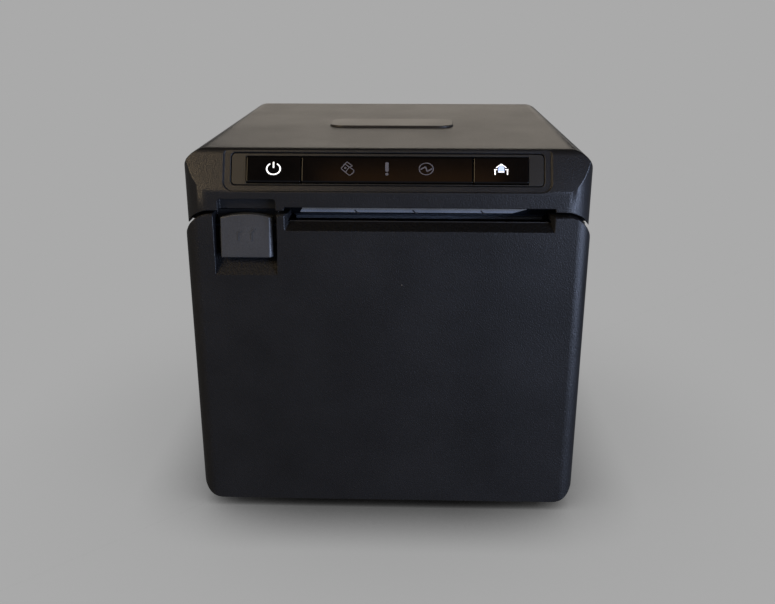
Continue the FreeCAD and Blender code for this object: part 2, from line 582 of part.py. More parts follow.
def make_upper_casing():
    shell = cut("casing_shell", casing_form("casing_outer", "0", SIDE_SEAM),
                casing_form("casing_inner", "wall", f"{SIDE_SEAM} - wall"))
    panel_half = "(panel_width / 2)"
    added = [tilted_block("panel_backing", PANEL,
                          (f"-{panel_half} - bevel_width", f"{panel_half} + bevel_width"),
                          ("panel_sink", "panel_foot + panel_height"), ("-backing_depth", "-wall / 2"))]
    for name, x, s in panel_posts():
        added.append(tilted_rod(f"panel_post_{name}", PANEL, (x, s), ("-panel_board_depth", "-wall"),
                                "board_post_radius"))
    finger = ("-finger_centre - finger_width / 2", "-finger_centre + finger_width / 2")
    added.append(block("finger_backing", (f"{finger[0]} - wall", f"{finger[1]} + wall"),
                       (f"{FRONT} + wall / 2", f"{FRONT} + finger_depth + wall"),
                       ("cover_top + seam_gap", "finger_top + wall")))
    strike_back = f"({NOSE_FRONT} - strike_gap)"
    added.append(block("strike", (f"-{INNER} - wall / 2", "-hook_outer + hook_width + strike_gap"),
                       (f"{strike_back} - strike_thick", strike_back),
                       ("strike_foot", "strike_foot + strike_height")))
    for name, x, y in tab_places():
        added.append(block(f"tab_{name}", x, y, (f"{SIDE_SEAM} - tab_reach", f"{SIDE_SEAM} + tab_reach")))
        root = (f"{x[0]} - wall / 2", x[1]) if name.endswith("l") else (x[0], f"{x[1]} + wall / 2")
        added.append(block(f"tab_root_{name}", root, y,
                           (f"{SIDE_SEAM} + fit", f"{SIDE_SEAM} + tab_reach")))
    solid = fuse("casing_sum", shell, *added)
    over = "(cover_top + seam_gap)"
    room = prism("cover_room", "XZ_Plane",
                 rectangle((f"-{HALF} - seam_gap", f"{HALF} + seam_gap"), ("case_height / 2", over)),
                 f"{FRONT} - wall", BODY_FRONT)
    soften(room, "cover_top_round + seam_gap", "Y", (f"-{HALF} - seam_gap", over),
           (f"{HALF} + seam_gap", over))
    finger_pocket = prism("finger_pocket", "XZ_Plane",
                          rectangle(finger, (f"{over} - wall", "finger_top")),
                          f"{FRONT} - wall", f"{FRONT} + finger_depth")
    soften(finger_pocket, "seam_gap", "Y", (finger[0], "finger_top"), (finger[1], "finger_top"))
    slot = prism("slot_notch", "XZ_Plane",
                 rectangle((SLOT_LOW, SLOT_HIGH), (f"{over} - wall", "slot_top")),
                 f"{FRONT} - wall", f"{FRONT} + 2 * wall")
    badge = badge_form("badge_pocket", "fit / 2", "case_height - badge_sink", "case_height + badge_proud")
    piece("upper_casing", cut("casing_cut", solid, room, finger_pocket, slot, badge, *panel_holes()))


def tab_places():
    near, far = f"({INNER} - fit - tab_thick)", f"({INNER} - fit)"
    rows = (("(-case_depth / 4)", "b"), ("(case_depth / 4)", "f"))
    return [(name + side, x, (y, f"{y} + tab_length")) for y, name in rows
            for side, x in (("l", (f"-{far}", f"-{near}")), ("r", (near, far)))]


# Control panel


def panel_posts():
    return [(f"{i}{j}", f"{sign} * (panel_board_width / 2 - 2 * board_post_radius)", s)
            for i, sign in enumerate((-1, 1))
            for j, s in enumerate(("panel_foot + board_post_radius",
                                   "panel_foot + panel_height - board_post_radius"))]


def button_span(sign):
    near, far = "(window_width / 2 + strip_gap)", "(strip_width / 2)"
    return (f"-{far}", f"-{near}") if sign < 0 else (near, far)


STRIP = ("strip_foot", "(strip_foot + strip_height)")


def wider(span, by):
    return (f"{span[0]} - {by}", f"{span[1]} + {by}")


def panel_holes():
    """Sloping bevel, plate pocket, button wells and lamp holes of the control panel."""
    half = "(panel_width / 2)"
    plate_s = ("panel_foot", "(panel_foot + panel_height)")
    pocket = rounded_block("plate_pocket", wider((f"-{half}", half), "fit"), wider(plate_s, "fit"),
                           ("0", "panel_sink + panel_thick + panel_room"), "plate_round + fit")
    surround = rounded_block("bevel_pocket", wider((f"-{half}", half), "bevel_width"),
                             ("fit", "(panel_foot + panel_height + bevel_width)"),
                             ("0", "bevel_depth + panel_room"), "surround_round")
    holes = [tilt(pocket, PANEL, normal="-panel_sink - panel_thick"),
             tilt(surround, PANEL, normal="-bevel_depth")]
    for name, sign in (("power", -1), ("feed", 1)):
        holes.append(tilted_block(f"{name}_well", PANEL, wider(button_span(sign), "fit"),
                                  wider(STRIP, "fit"),
                                  ("-2 * backing_depth + wall", "wall")))
    for i in (-1, 0, 1):
        holes.append(tilted_rod(f"lamp_hole_{i + 1}", PANEL,
                                (f"{i} * lamp_pitch", "strip_foot + strip_height / 2"),
                                ("-2 * backing_depth + wall", "wall"), "lamp_radius + fit"))
    return holes


def make_panel():
    half = "(panel_width / 2)"
    plate = rounded_block("bezel_blank", (f"-{half}", half),
                          ("panel_foot", "(panel_foot + panel_height)"),
                          ("0", "panel_thick"), "plate_round")
    tilt(plate, PANEL, normal="-panel_sink - panel_thick")
    gate = tilted_block("bezel_gate", PANEL, wider(("-strip_width / 2", "strip_width / 2"), "fit"),
                        wider(STRIP, "fit"), ("-2 * panel_thick - panel_sink", "wall"))
    piece("panel_bezel", cut("bezel_cut", plate, gate))

    window = prism("window", "XY_Plane", rectangle(("-window_width / 2", "window_width / 2"), STRIP),
                   "0", "panel_sink + panel_thick - strip_sink")
    face = "(panel_sink + panel_thick - strip_sink)"
    soften(window, "strip_round", "X", (STRIP[0], face), (STRIP[1], face))
    piece("indicator_window", tilt(window, PANEL, normal="-panel_sink - panel_thick"))

    for node, sign in (("power_button", -1), ("feed_button", 1)):
        span = button_span(sign)
        cap = prism(node + "_cap", "XY_Plane", rectangle(span, STRIP), "0",
                    "backing_depth - strip_sink + fit")
        top = "(backing_depth - strip_sink + fit)"
        soften(cap, "strip_round", "X", (STRIP[0], top), (STRIP[1], top))
        tilt(cap, PANEL, normal="-backing_depth - fit")
        flange = tilted_block(node + "_flange", PANEL, wider(span, "button_flange"), STRIP,
                              ("-backing_depth - fit - flange_thick", "-backing_depth - fit"))
        piece(node, fuse(node + "_sum", cap, flange))

    board = tilted_block("panel_board_blank", PANEL, ("-panel_board_width / 2", "panel_board_width / 2"),
                         ("panel_foot", "panel_foot + panel_height"),
                         ("-panel_board_depth - board_thick", "-panel_board_depth"))
    piece("panel_board", board)

    switches, lamps = [], []
    middle = "(strip_foot + strip_height / 2)"
    for name, sign in (("power", -1), ("feed", 1)):
        x = f"({sign} * (strip_width + window_width) / 4)"
        body = tilted_block(f"{name}_switch_body", PANEL,
                            (f"{x} - switch_size / 2", f"{x} + switch_size / 2"),
                            (f"{middle} - switch_size / 2", f"{middle} + switch_size / 2"),
                            ("-panel_board_depth", "-panel_board_depth + switch_height"))
        plunger = tilted_rod(f"{name}_plunger", PANEL, (x, middle),
                             ("-panel_board_depth",
                              "-panel_board_depth + switch_height + plunger_height"),
                             "plunger_radius")
        switches.append(fuse(f"{name}_switch", body, plunger))
    for i in (-1, 0, 1):
        lamps.append(tilted_rod(f"lamp_{i + 1}", PANEL, (f"{i} * lamp_pitch", middle),
                                ("-panel_board_depth", "-panel_board_depth + lamp_height"),
                                "lamp_radius"))
    piece("tact_switches", group("switch_pair", switches))
    piece("indicator_lamps", group("lamp_row", lamps))


def badge_form(label, grow, low, high):
    """The badge's rounded rectangle on the top, grown by a clearance."""
    x = (f"-badge_width / 2 - {grow}", f"badge_width / 2 + {grow}")
    y = (f"{FRONT} + badge_centre - badge_length / 2 - {grow}",
         f"{FRONT} + badge_centre + badge_length / 2 + {grow}")
    return rounded_block(label, x, y, (low, high), "badge_round")


def make_badge():
    piece("badge_plate", badge_form("badge", "0", "case_height - badge_sink",
                                    "case_height + badge_proud"))


# Front cover


def cover_form(label, inset, back):
    """The cover's outer form, or its hollow when inset: front, side and plan views intersected."""
    front = f"({FRONT} + {inset})"
    half, low, top = f"({HALF} - {inset})", f"(foot_height + {inset})", f"(cover_top - {inset})"
    side = prism(label + "_side", "YZ_Plane", rectangle((front, back), (low, top)), f"-{half}", half)
    if inset == "0":
        soften(side, "swing_round", "X", (back, low))
        soften(side, "seam_gap", "X", (front, top))
    face = prism(label + "_face", "XZ_Plane", rectangle((f"-{half}", half), (low, top)), front, back)
    soften(face, f"cover_top_round - {inset}", "Y", (f"-{half}", top), (half, top))
    soften(face, f"cover_foot_round - {inset}", "Y", (f"-{half}", low), (half, low))
    plan = prism(label + "_plan", "XY_Plane", rectangle((f"-{half}", half), (front, back)), low, top)
    soften(plan, f"cover_edge_round - {inset}", "Z", (f"-{half}", front), (half, front))
    return common(label, side, face, plan)


def slot_tool(label):
    """Paper slot: a lip bevelled inward on three sides, then a floor falling back along the paper path."""
    inner = f"({FRONT} + lip_depth)"
    lip = "(lip_front + lip_rise)"
    funnel = DOC.addObject("Part::Wedge", label + "_funnel")
    steps = "(1 + wall / lip_depth)"
    bind(funnel, Ymin=f"{FRONT} - wall", Ymax=inner, Zmin=f"{lip} - lip_rise * {steps}", Z2min=lip,
         Zmax="case_height", Z2max="case_height",
         Xmin=f"{PASS_LOW} - end_bevel * {steps}", X2min=PASS_LOW,
         Xmax=f"{PASS_HIGH} + end_bevel * {steps}", X2max=PASS_HIGH)
    points = [(f"{inner} - fit", lip), (inner, lip),
              (BODY_FRONT, f"{lip} - ({BODY_FRONT} - {inner}) * tan(path_slope)"),
              (BODY_FRONT, "case_height"), (f"{inner} - fit", "case_height")]
    return fuse(label, funnel, prism(label + "_way", "YZ_Plane", points, PASS_LOW, PASS_HIGH))


def hook_window(label):
    """Hole that the lever's hook swings down through."""
    return block(label, ("-hook_outer - fit * 2", "-hook_outer + hook_width + fit * 2"),
                 (f"{SCOOP_BACK} - fit", f"{LINER_BACK} + fit"),
                 ("hook_foot - hook_drop", "nose_top + fit"))


def liner_screw_places():
    return [(f"{i}{j}", f"{sign} * liner_screw_side", z) for i, sign in enumerate((-1, 1))
            for j, z in enumerate(("liner_screw_low", "liner_screw_high"))]


def make_front_cover():
    rim = f"({FRONT} + cover_depth)"
    shell = cut("cover_shell", cover_form("cover_outer", "0", rim),
                cover_form("cover_inner", "wall", f"({rim} + wall)"))
    added = [block("scoop_blank", (f"{SCOOP_LOW} - scoop_wall", f"{SCOOP_HIGH} + scoop_wall"),
                   (f"{FRONT} + wall / 2", f"{SCOOP_BACK} + scoop_back"),
                   ("scoop_foot - scoop_wall", "cover_top - wall / 2"))]
    for name, low, high in (("left", f"-{INNER} - wall / 2", f"-{EAR_OUT} - fit"),
                            ("right", f"{EAR_OUT} + fit", f"{INNER} + wall / 2")):
        added.append(rod(f"knuckle_{name}", "X", low, high, (HINGE_Y, HINGE_Z), "knuckle_radius"))
    for name, x, z in liner_screw_places():
        added.append(rod(f"liner_boss_{name}", "Y", f"{FRONT} + wall / 2", LINER_Y, (x, z),
                         "boss_radius"))
    solid = fuse("cover_sum", shell, *added)
    slope = "(scoop_floor_top - scoop_foot) / scoop_depth"
    scoop_points = [(f"{FRONT} - wall", f"scoop_foot - wall * {slope}"), (SCOOP_BACK, "scoop_floor_top"),
                    (SCOOP_BACK, "case_height"), (f"{FRONT} - wall", "case_height")]
    roof_room = block("roof_room", (f"-{INNER} + wall", f"{INNER} - wall"),
                      (f"{FRONT} + cover_roof", f"{rim} + wall"),
                      ("cover_top - 2 * wall", "case_height"))
    tools = [roof_room, slot_tool("cover_slot"),
             prism("scoop", "YZ_Plane", scoop_points, SCOOP_LOW, SCOOP_HIGH),
             hook_window("cover_hook_window")]
    for name, low, high in (("left", f"-{EAR_OUT} - fit", f"-{EAR_IN} + ear_play"),
                            ("right", f"{EAR_IN} - ear_play", f"{EAR_OUT} + fit")):
        tools.append(block(f"ear_room_{name}", (low, high), (f"{FRONT} + wall", f"{rim} + wall"),
                           ("0", f"{HINGE_Z} + knuckle_radius + fit")))
    bore_end = f"({INNER} + wall / 2)"
    tools.append(rod("cover_bore", "X", f"-{bore_end}", bore_end, (HINGE_Y, HINGE_Z),
                     "hinge_pin_radius + running_fit"))
    tools.append(rod("lever_pin_bore", "X", f"{SCOOP_LOW} - scoop_wall / 2",
                     f"{SCOOP_HIGH} + scoop_wall / 2",
                     (LEVER_PIN_Y, "lever_pin_height"), "lever_pin_radius + running_fit / 5"))
    for name, x, z in liner_screw_places():
        tools.append(rod(f"liner_pilot_{name}", "Y", f"{FRONT} + wall", LINER_Y, (x, z),
                         "screw_radius + fit / 4"))
    piece("front_cover", cut("cover_cut", solid, *tools))

    pins = [rod("hinge_pin_left", "X", f"-{bore_end} + fit", f"-{EAR_IN}", (HINGE_Y, HINGE_Z),
                "hinge_pin_radius"),
            rod("hinge_pin_right", "X", EAR_IN, f"{bore_end} - fit", (HINGE_Y, HINGE_Z),
                "hinge_pin_radius")]
    piece("hinge_pins", group("hinge_pin_pair", pins))


def arm_spans():
    gap = "(paper_width / 2 + arm_gap)"
    return (("left", f"path_centre - {gap} - arm_thick", f"path_centre - {gap}"),
            ("right", f"path_centre + {gap}", f"path_centre + {gap} + arm_thick"))


def make_cover_liner():
    side = f"({INNER} - fit)"
    plate = prism("liner_plate", "XZ_Plane",
                  rectangle((f"-{side}", side), ("liner_foot", "cover_top - 2 * wall")),
                  LINER_Y, LINER_BACK)
    soften(plate, "cover_top_round - wall", "Y", (f"-{side}", "cover_top - 2 * wall"),
           (side, "cover_top - 2 * wall"))
    inner = f"({FRONT} + lip_depth)"
    lip = "(lip_front + lip_rise)"
    fall = "tan(path_slope)"
    ledge = prism("exit_ledge", "YZ_Plane",
                  [(f"{inner} + fit", f"{lip} - ledge_thick"),
                   (LINER_BACK, f"{lip} - ({LINER_BACK} - {inner}) * {fall} - ledge_thick"),
                   (LINER_BACK, f"{lip} - ({LINER_BACK} - {inner}) * {fall}"), (f"{inner} + fit", lip)],
                  f"{PASS_LOW} + fit", f"{PASS_HIGH} - fit")
    added = [ledge]
    for name, low, high in arm_spans():
        back = f"({PLATEN_Y} + arm_reach)"
        arm = prism(f"arm_{name}", "YZ_Plane",
                    rectangle((LINER_Y, back),
                              ("platen_height - arm_half_height", "platen_height + arm_half_height")),
                    low, high)
        soften(arm, "arm_round", "X", (back, "platen_height - arm_half_height"),
               (back, "platen_height + arm_half_height"))
        added.append(arm)
    ribs = [block(f"rib_{i}", (f"path_centre + {i} * rib_spread - rib_thick / 2",
                               f"path_centre + {i} * rib_spread + rib_thick / 2"),
                  (LINER_Y, f"{LINER_BACK} + rib_reach"), ("rib_foot", "rib_top")) for i in (-1, 0, 1)]
    roll = rod("rib_roll", "X", BIN_LOW, BIN_HIGH, (ROLL_Y, ROLL_Z), "roll_radius + rib_gap")
    added.append(cut("ribs", group("rib_row", ribs), roll))
    solid = fuse("liner_sum", plate, *added)
    tools = [slot_tool("liner_slot"), hook_window("liner_hook_window"),
             rod("arm_bore", "X", PLATE_LEFT, PLATE_RIGHT,
                 (PLATEN_Y, "platen_height"), "shaft_radius + running_fit")]
    for name, x, z in liner_screw_places():
        tools.append(rod(f"liner_hole_{name}", "Y", LINER_Y, LINER_BACK, (x, z), "screw_radius + fit"))
    piece("cover_liner", cut("liner_cut", solid, *tools))

    screws = [screw(f"liner_screw_{name}", "Y", LINER_BACK, (x, z), "1", "screw_length * 2 / 3")
              for name, x, z in liner_screw_places()]
    piece("liner_screws", group("liner_screw_set", screws))

    half = "(paper_width / 2 + rubber_margin + fit)"
    piece("fixed_blade", block("fixed_blade_strip", (f"path_centre - {half}", f"path_centre + {half}"),
                               (LINER_BACK, f"{LINER_BACK} + fixed_blade_thick"),
                               ("fixed_blade_top - fixed_blade_height", "fixed_blade_top")))


# Open lever


def make_lever():
    front, back = f"({FRONT} + fit)", f"({FRONT} + fit + lever_thick)"
    points = [(front, "lever_foot"), (back, "lever_foot"), (f"{back} + lever_lean", "lever_top"),
              (f"{front} + lever_lean", "lever_top")]
    blank = prism("lever_blank", "YZ_Plane", points, LEVER_LOW, LEVER_HIGH)
    soften(blank, "lever_round", "X", (back, "lever_foot"))
    bevel(blank, "lever_bevel", (LEVER_HIGH, front, "lever_foot"),
          (LEVER_HIGH, f"{front} + lever_lean", "lever_top"))
    arch_radius = "((lever_width ^ 2 / 4 + lever_arch ^ 2) / (2 * lever_arch))"
    arch = rod("lever_arch_drum", "Y", f"{FRONT} - wall", NOSE_BACK,
               ("-lever_centre", f"lever_top - {arch_radius}"), arch_radius)
    flap = common("lever_flap", blank, arch)
    boss = rod("lever_boss", "X", LEVER_LOW, LEVER_HIGH, (LEVER_PIN_Y, "lever_pin_height"),
               "lever_boss_radius")
    span = ("-hook_outer", "-hook_outer + hook_width")
    arm = block("hook_arm", span, (LEVER_PIN_Y, NOSE_BACK), ("hook_foot", "hook_top"))
    nose = block("hook_nose", span, (NOSE_FRONT, NOSE_BACK), ("hook_foot", "nose_top"))
    solid = fuse("lever_sum", flap, boss, arm, nose)
    bore = rod("lever_bore", "X", LEVER_LOW, LEVER_HIGH, (LEVER_PIN_Y, "lever_pin_height"),
               "lever_pin_radius + running_fit")
    low = "(-hook_outer + hook_width + fit * 4)"
    pocket = rod("coil_pocket", "X", low, f"{low} + coil_length + 4 * coil_wire",
                 (LEVER_PIN_Y, "lever_pin_height"),
                 "lever_boss_radius + fit")
    piece("open_lever", cut("lever_cut", solid, bore, pocket))

    pin_low, pin_high = f"{SCOOP_LOW} - scoop_wall / 2 + fit", f"{SCOOP_HIGH} + scoop_wall / 2 - fit"
    piece("lever_pin", rod("lever_pin_rod", "X", pin_low, pin_high, (LEVER_PIN_Y, "lever_pin_height"),
                           "lever_pin_radius"))

    shape = coil(num("coil_radius"), num("coil_wire"), num("coil_turns"), num("coil_length"))
    start = V(num(f"{low} + 2 * coil_wire"), num(LEVER_PIN_Y), num("lever_pin_height"))
    piece("lever_spring", feature("lever_coil", shape, FreeCAD.Placement(start, AXES["X"])))


# Platen and feed gears


def make_platen():
    centre = (PLATEN_Y, "platen_height")
    half = "(paper_width / 2 + rubber_margin)"
    ends = (f"path_centre - {half}", f"path_centre + {half}")
    piece("platen_shaft", rod("platen_shaft_rod", "X", FEED_LOW, f"{PLATE_RIGHT} + sheet + fit", centre,
                              "shaft_radius"))
    tube = rod("rubber_tube", "X", *ends, centre, "platen_radius")
    piece("platen_rubber", cut("rubber_cut", tube,
                               rod("rubber_bore", "X", *ends, centre, "shaft_radius + running_fit / 5")))
    bushes = []
    for name, low, high in (("left", f"{PLATE_LEFT} - sheet - fit", f"{PLATE_LEFT} + fit"),
                            ("right", f"{PLATE_RIGHT} - fit", f"{PLATE_RIGHT} + sheet + fit")):
        ring = rod(f"bush_ring_{name}", "X", low, high, centre, "bush_radius")
        bushes.append(cut(f"bush_{name}", ring,
                          rod(f"bush_bore_{name}", "X", low, high, centre, "shaft_radius + running_fit")))
    piece("platen_bushes", group("bush_pair", bushes))


def make_feed_gears():
    drop = -math.radians(num("idler_drop"))
    turn = -math.radians(num("pinion_drop"))
    platen_phase = drop
    idler_phase = meshed(platen_phase, "platen_teeth", "idler_teeth", drop)
    pinion_phase = meshed(idler_phase, "idler_teeth", "pinion_teeth", turn)
    piece("platen_gear", gear("platen_wheel", "platen_teeth", platen_phase, "gear_width",
                              "shaft_radius + running_fit / 5",
                              (FEED_LOW, PLATEN_Y, "platen_height")))
    piece("idler_gear", gear("idler_wheel", "idler_teeth", idler_phase, "gear_width",
                             "stud_radius + running_fit",
                             (FEED_LOW, IDLER_Y, IDLER_Z)))
    piece("feed_pinion", gear("feed_wheel", "pinion_teeth", pinion_phase, "gear_width",
                              "motor_shaft_radius + running_fit / 5",
                              (FEED_LOW, PINION_Y, PINION_Z)))
    piece("idler_pin", rod("idler_stud", "X", GEAR_PLATE_HIGH, f"{PLATE_LEFT} - sheet",
                           (IDLER_Y, IDLER_Z), "stud_radius"))
    piece("feed_motor", motor("feed", "feed_motor_radius", "feed_motor_length", (PINION_Y, PINION_Z)))
    piece("feed_shaft", rod("feed_axle", "X", f"{GEAR_PLATE_LOW} - motor_fit", FEED_HIGH,
                            (PINION_Y, PINION_Z), "motor_shaft_radius"))


def motor(name, radius, length, centre):
    """A can with a short boss through the gear plate and a bore for its axle."""
    can = rod(f"{name}_can", "X", f"{GEAR_PLATE_LOW} - {length}", GEAR_PLATE_LOW, centre, radius)
    boss = rod(f"{name}_boss", "X", GEAR_PLATE_LOW, GEAR_PLATE_HIGH, centre, "motor_boss_radius")
    bore = rod(f"{name}_bore", "X", f"{GEAR_PLATE_LOW} - 2 * motor_fit", GEAR_PLATE_HIGH, centre,
               "motor_shaft_radius + running_fit")
    return cut(f"{name}_motor_cut", fuse(f"{name}_motor_sum", can, boss), bore)


# Mechanism frame


def frame_screw_places():
    return [(name, f"({FRONT} + {y})")
            for name, y in (("front", "frame_screw_front"), ("rear", "frame_screw_rear"))]


def post_places():
    return [("low", f"{PINION_Y} + pinion_teeth * gear_module + 2 * post_radius",
             f"{PINION_Z} - 3 * post_radius"),
            ("mid", f"{PINION_Y} + pinion_teeth * gear_module + 2 * post_radius",
             f"{IDLER_Z} - 2 * post_radius"),
            ("high", f"{CUT_PINION_Y} + 4 * post_radius", f"{CUT_PINION_Z} - post_radius")]


def make_mechanism_frame():
    front, horn = f"({PLATEN_Y} - bush_radius - bush_land)", f"({FRONT} + horn_inset)"
    rear = f"({FRONT} + frame_screw_rear + frame_edge)"
    points = [(front, "platen_height - frame_dip"), (f"{front} + frame_slope", "frame_foot"),
              (rear, "frame_foot"),
              (rear, "frame_screw_height + frame_edge"), (f"{FRONT} + brace_rear", "frame_top"),
              (f"{horn} + horn_lean", "frame_top"), (horn, "horn_top"), (horn, "horn_foot"),
              (front, "horn_foot")]
    plates = [prism("plate_left", "YZ_Plane", points, f"{PLATE_LEFT} - sheet", PLATE_LEFT),
              prism("plate_right", "YZ_Plane", points, PLATE_RIGHT, f"{PLATE_RIGHT} + sheet")]
    roof = block("frame_roof", (f"{PLATE_LEFT} - sheet", f"{PLATE_RIGHT} + sheet"),
                 (f"{CUTTER_Y} + roof_front", f"{FRONT} + roof_rear"), (FRAME_TOP_UNDER, "frame_top"))
    solid = fuse("frame_sum", *plates, roof)
    reach = (f"{PLATE_LEFT} - 2 * sheet", f"{PLATE_RIGHT} + 2 * sheet")
    holes = [rod("bush_seat", "X", *reach, (PLATEN_Y, "platen_height"), "bush_radius + bush_play"),
             block("bush_way", reach, (f"{front} - bush_land", PLATEN_Y),
                   ("platen_height - bush_radius - bush_play",
                    "platen_height + bush_radius + notch_lift")),
             rod("cutter_way", "X", *reach, (CUTTER_Y, CUTTER_Z), "cutter_shaft_radius + running_fit"),
             rod("head_pin_hole", "X", *reach, HEAD_PIN, "head_pin_radius + running_fit / 5")]
    for name, y in frame_screw_places():
        holes.append(rod(f"frame_hole_{name}", "X", *reach, (y, "frame_screw_height"),
                         "screw_radius + fit"))
    piece("mechanism_frame", cut("frame_cut", solid, *holes))

    screws = []
    for name, y in frame_screw_places():
        spot = (y, "frame_screw_height")
        screws.append(screw(f"frame_screw_l{name}", "X", f"({PLATE_LEFT} - sheet)", spot, "-1",
                            "sheet + frame_margin / 2"))
        screws.append(screw(f"frame_screw_r{name}", "X", f"({PLATE_RIGHT} + sheet)", spot, "1",
                            "sheet + frame_margin / 2"))
    piece("frame_screws", group("frame_screw_set", screws))

    sheet_points = [(f"{PINION_Y} - feed_edge", f"{PINION_Z} - feed_edge"),
                    (f"{PINION_Y} + feed_edge", f"{PINION_Z} - feed_edge"),
                    (f"{PINION_Y} + feed_edge", IDLER_Z),
                    (f"{CUT_PINION_Y} + feed_edge", f"{CUT_PINION_Z} + cutter_edge"),
                    (f"{CUT_PINION_Y} - cutter_edge", f"{CUT_PINION_Z} + cutter_edge"),
                    (f"{CUTTER_Y} - post_radius", f"{CUTTER_Z} - cutter_edge"),
                    (f"{IDLER_Y} - cutter_edge", IDLER_Z)]
    plate = prism("gear_sheet", "YZ_Plane", sheet_points, GEAR_PLATE_LOW, GEAR_PLATE_HIGH)
    span = (GEAR_PLATE_LOW, GEAR_PLATE_HIGH)
    piece("gear_plate", cut("gear_plate_cut", plate,
                            rod("feed_boss_hole", "X", *span, (PINION_Y, PINION_Z),
                                "motor_boss_radius + fit"),
                            rod("cutter_boss_hole", "X", *span, (CUT_PINION_Y, CUT_PINION_Z),
                                "motor_boss_radius + fit"),
                            rod("cutter_end_hole", "X", *span, (CUTTER_Y, CUTTER_Z),
                                "cutter_shaft_radius + running_fit")))
    posts = [rod(f"gear_post_{name}", "X", GEAR_PLATE_HIGH, f"{PLATE_LEFT} - sheet", (y, z),
                 "post_radius")
             for name, y, z in post_places()]
    piece("gear_posts", group("gear_post_set", posts))


# Print head

HEAD_PIN = (f"({NIP_Y} + head_pin_back * cos(path_slope) + head_pin_rise * sin(path_slope))",
            f"({NIP_Z} - head_pin_back * sin(path_slope) + head_pin_rise * cos(path_slope))")


def make_head():
    x = ("path_centre - head_half", "path_centre + head_half")
    low = "(head_gap + ceramic_thick)"
    blank = tilted_block("sink_blank", HEAD, x, ("-head_front", "head_length - head_front"),
                         (low, f"{low} + head_thick"))
    cuts = [rod("head_pin_bore", "X", *x, HEAD_PIN, "head_pin_radius + running_fit")]
    for i in range(3):
        start = f"(fin_width * (2 * {i} - 1))"
        cuts.append(tilted_block(f"fin_gap_{i}", HEAD, x, (start, f"{start} + fin_width"),
                                 (f"{low} + head_thick - fin_depth", f"{low} + 2 * head_thick")))
    piece("head_heatsink", cut("sink_cut", blank, *cuts))
    chip = tilted_block("ceramic", HEAD, ("path_centre - head_half + rubber_margin",
                                          "path_centre + head_half - rubber_margin"),
                        ("-ceramic_front", "ceramic_length - ceramic_front"), ("head_gap", low))
    piece("thermal_head", chip)
    piece("head_pivot_pin", rod("head_pin_rod", "X", f"{PLATE_LEFT} - sheet", f"{PLATE_RIGHT} + sheet",
                                HEAD_PIN, "head_pin_radius"))

    top = f"({low} + head_thick)"
    seat_y = f"({NIP_Y} + spring_back * cos(path_slope) + {top} * sin(path_slope))"
    seat_z = f"({NIP_Z} - spring_back * sin(path_slope) + {top} * cos(path_slope) + spring_lift)"
    length = num(f"{FRAME_TOP_UNDER} - {seat_z} - 2 * spring_wire - 2 * spring_gap")
    springs = []
    for i, sign in enumerate((-1, 1)):
        shape = coil(num("spring_radius"), num("spring_wire"), num("spring_turns"), length)
        start = V(num(f"path_centre + {sign} * spring_spread"), num(seat_y),
                  num(f"{seat_z} + spring_wire + spring_gap"))
        springs.append(feature(f"head_spring_{i}", shape, FreeCAD.Placement(start, FreeCAD.Rotation())))
    piece("head_springs", group("head_spring_pair", springs))


# Cutter


def rack_spans():
    half = "(paper_width / 2 + rubber_margin + rack_width / 2)"
    return (("left", f"path_centre - {half} - rack_width / 2", f"path_centre - {half} + rack_width / 2"),
            ("right", f"path_centre + {half} - rack_width / 2", f"path_centre + {half} + rack_width / 2"))


def rack_shape():
    """A rack facing +Y, its back on the plane y = 0, its pitch line level with a gap at z = 0."""
    module, slope = num("gear_module"), math.tan(math.radians(num("pressure_angle")))
    step = math.pi * module
    line = num("rack_thick - addendum * gear_module")
    tip = num("rack_thick")
    root = line - module * num("dedendum")
    low = num("rack_foot - cutter_shaft_height")
    high = num("rack_top - cutter_shaft_height")
    half = (step / 2 - num("backlash")) / 2
    first = math.ceil((low + step / 2) / step - 0.5)
    last = math.floor((high - step / 2) / step - 0.5)
    points = [V(0, 0, low), V(0, root, low)]
    for k in range(first, last + 1):
        centre = (k + 0.5) * step
        foot = half + (line - root) * slope
        crest = half - (tip - line) * slope
        points += [V(0, root, centre - foot), V(0, tip, centre - crest), V(0, tip, centre + crest),
                   V(0, root, centre + foot)]
    points += [V(0, root, high), V(0, 0, high)]
    wire = Part.makePolygon(points + points[:1])
    return Part.Face(wire).extrude(V(num("rack_width"), 0, 0))


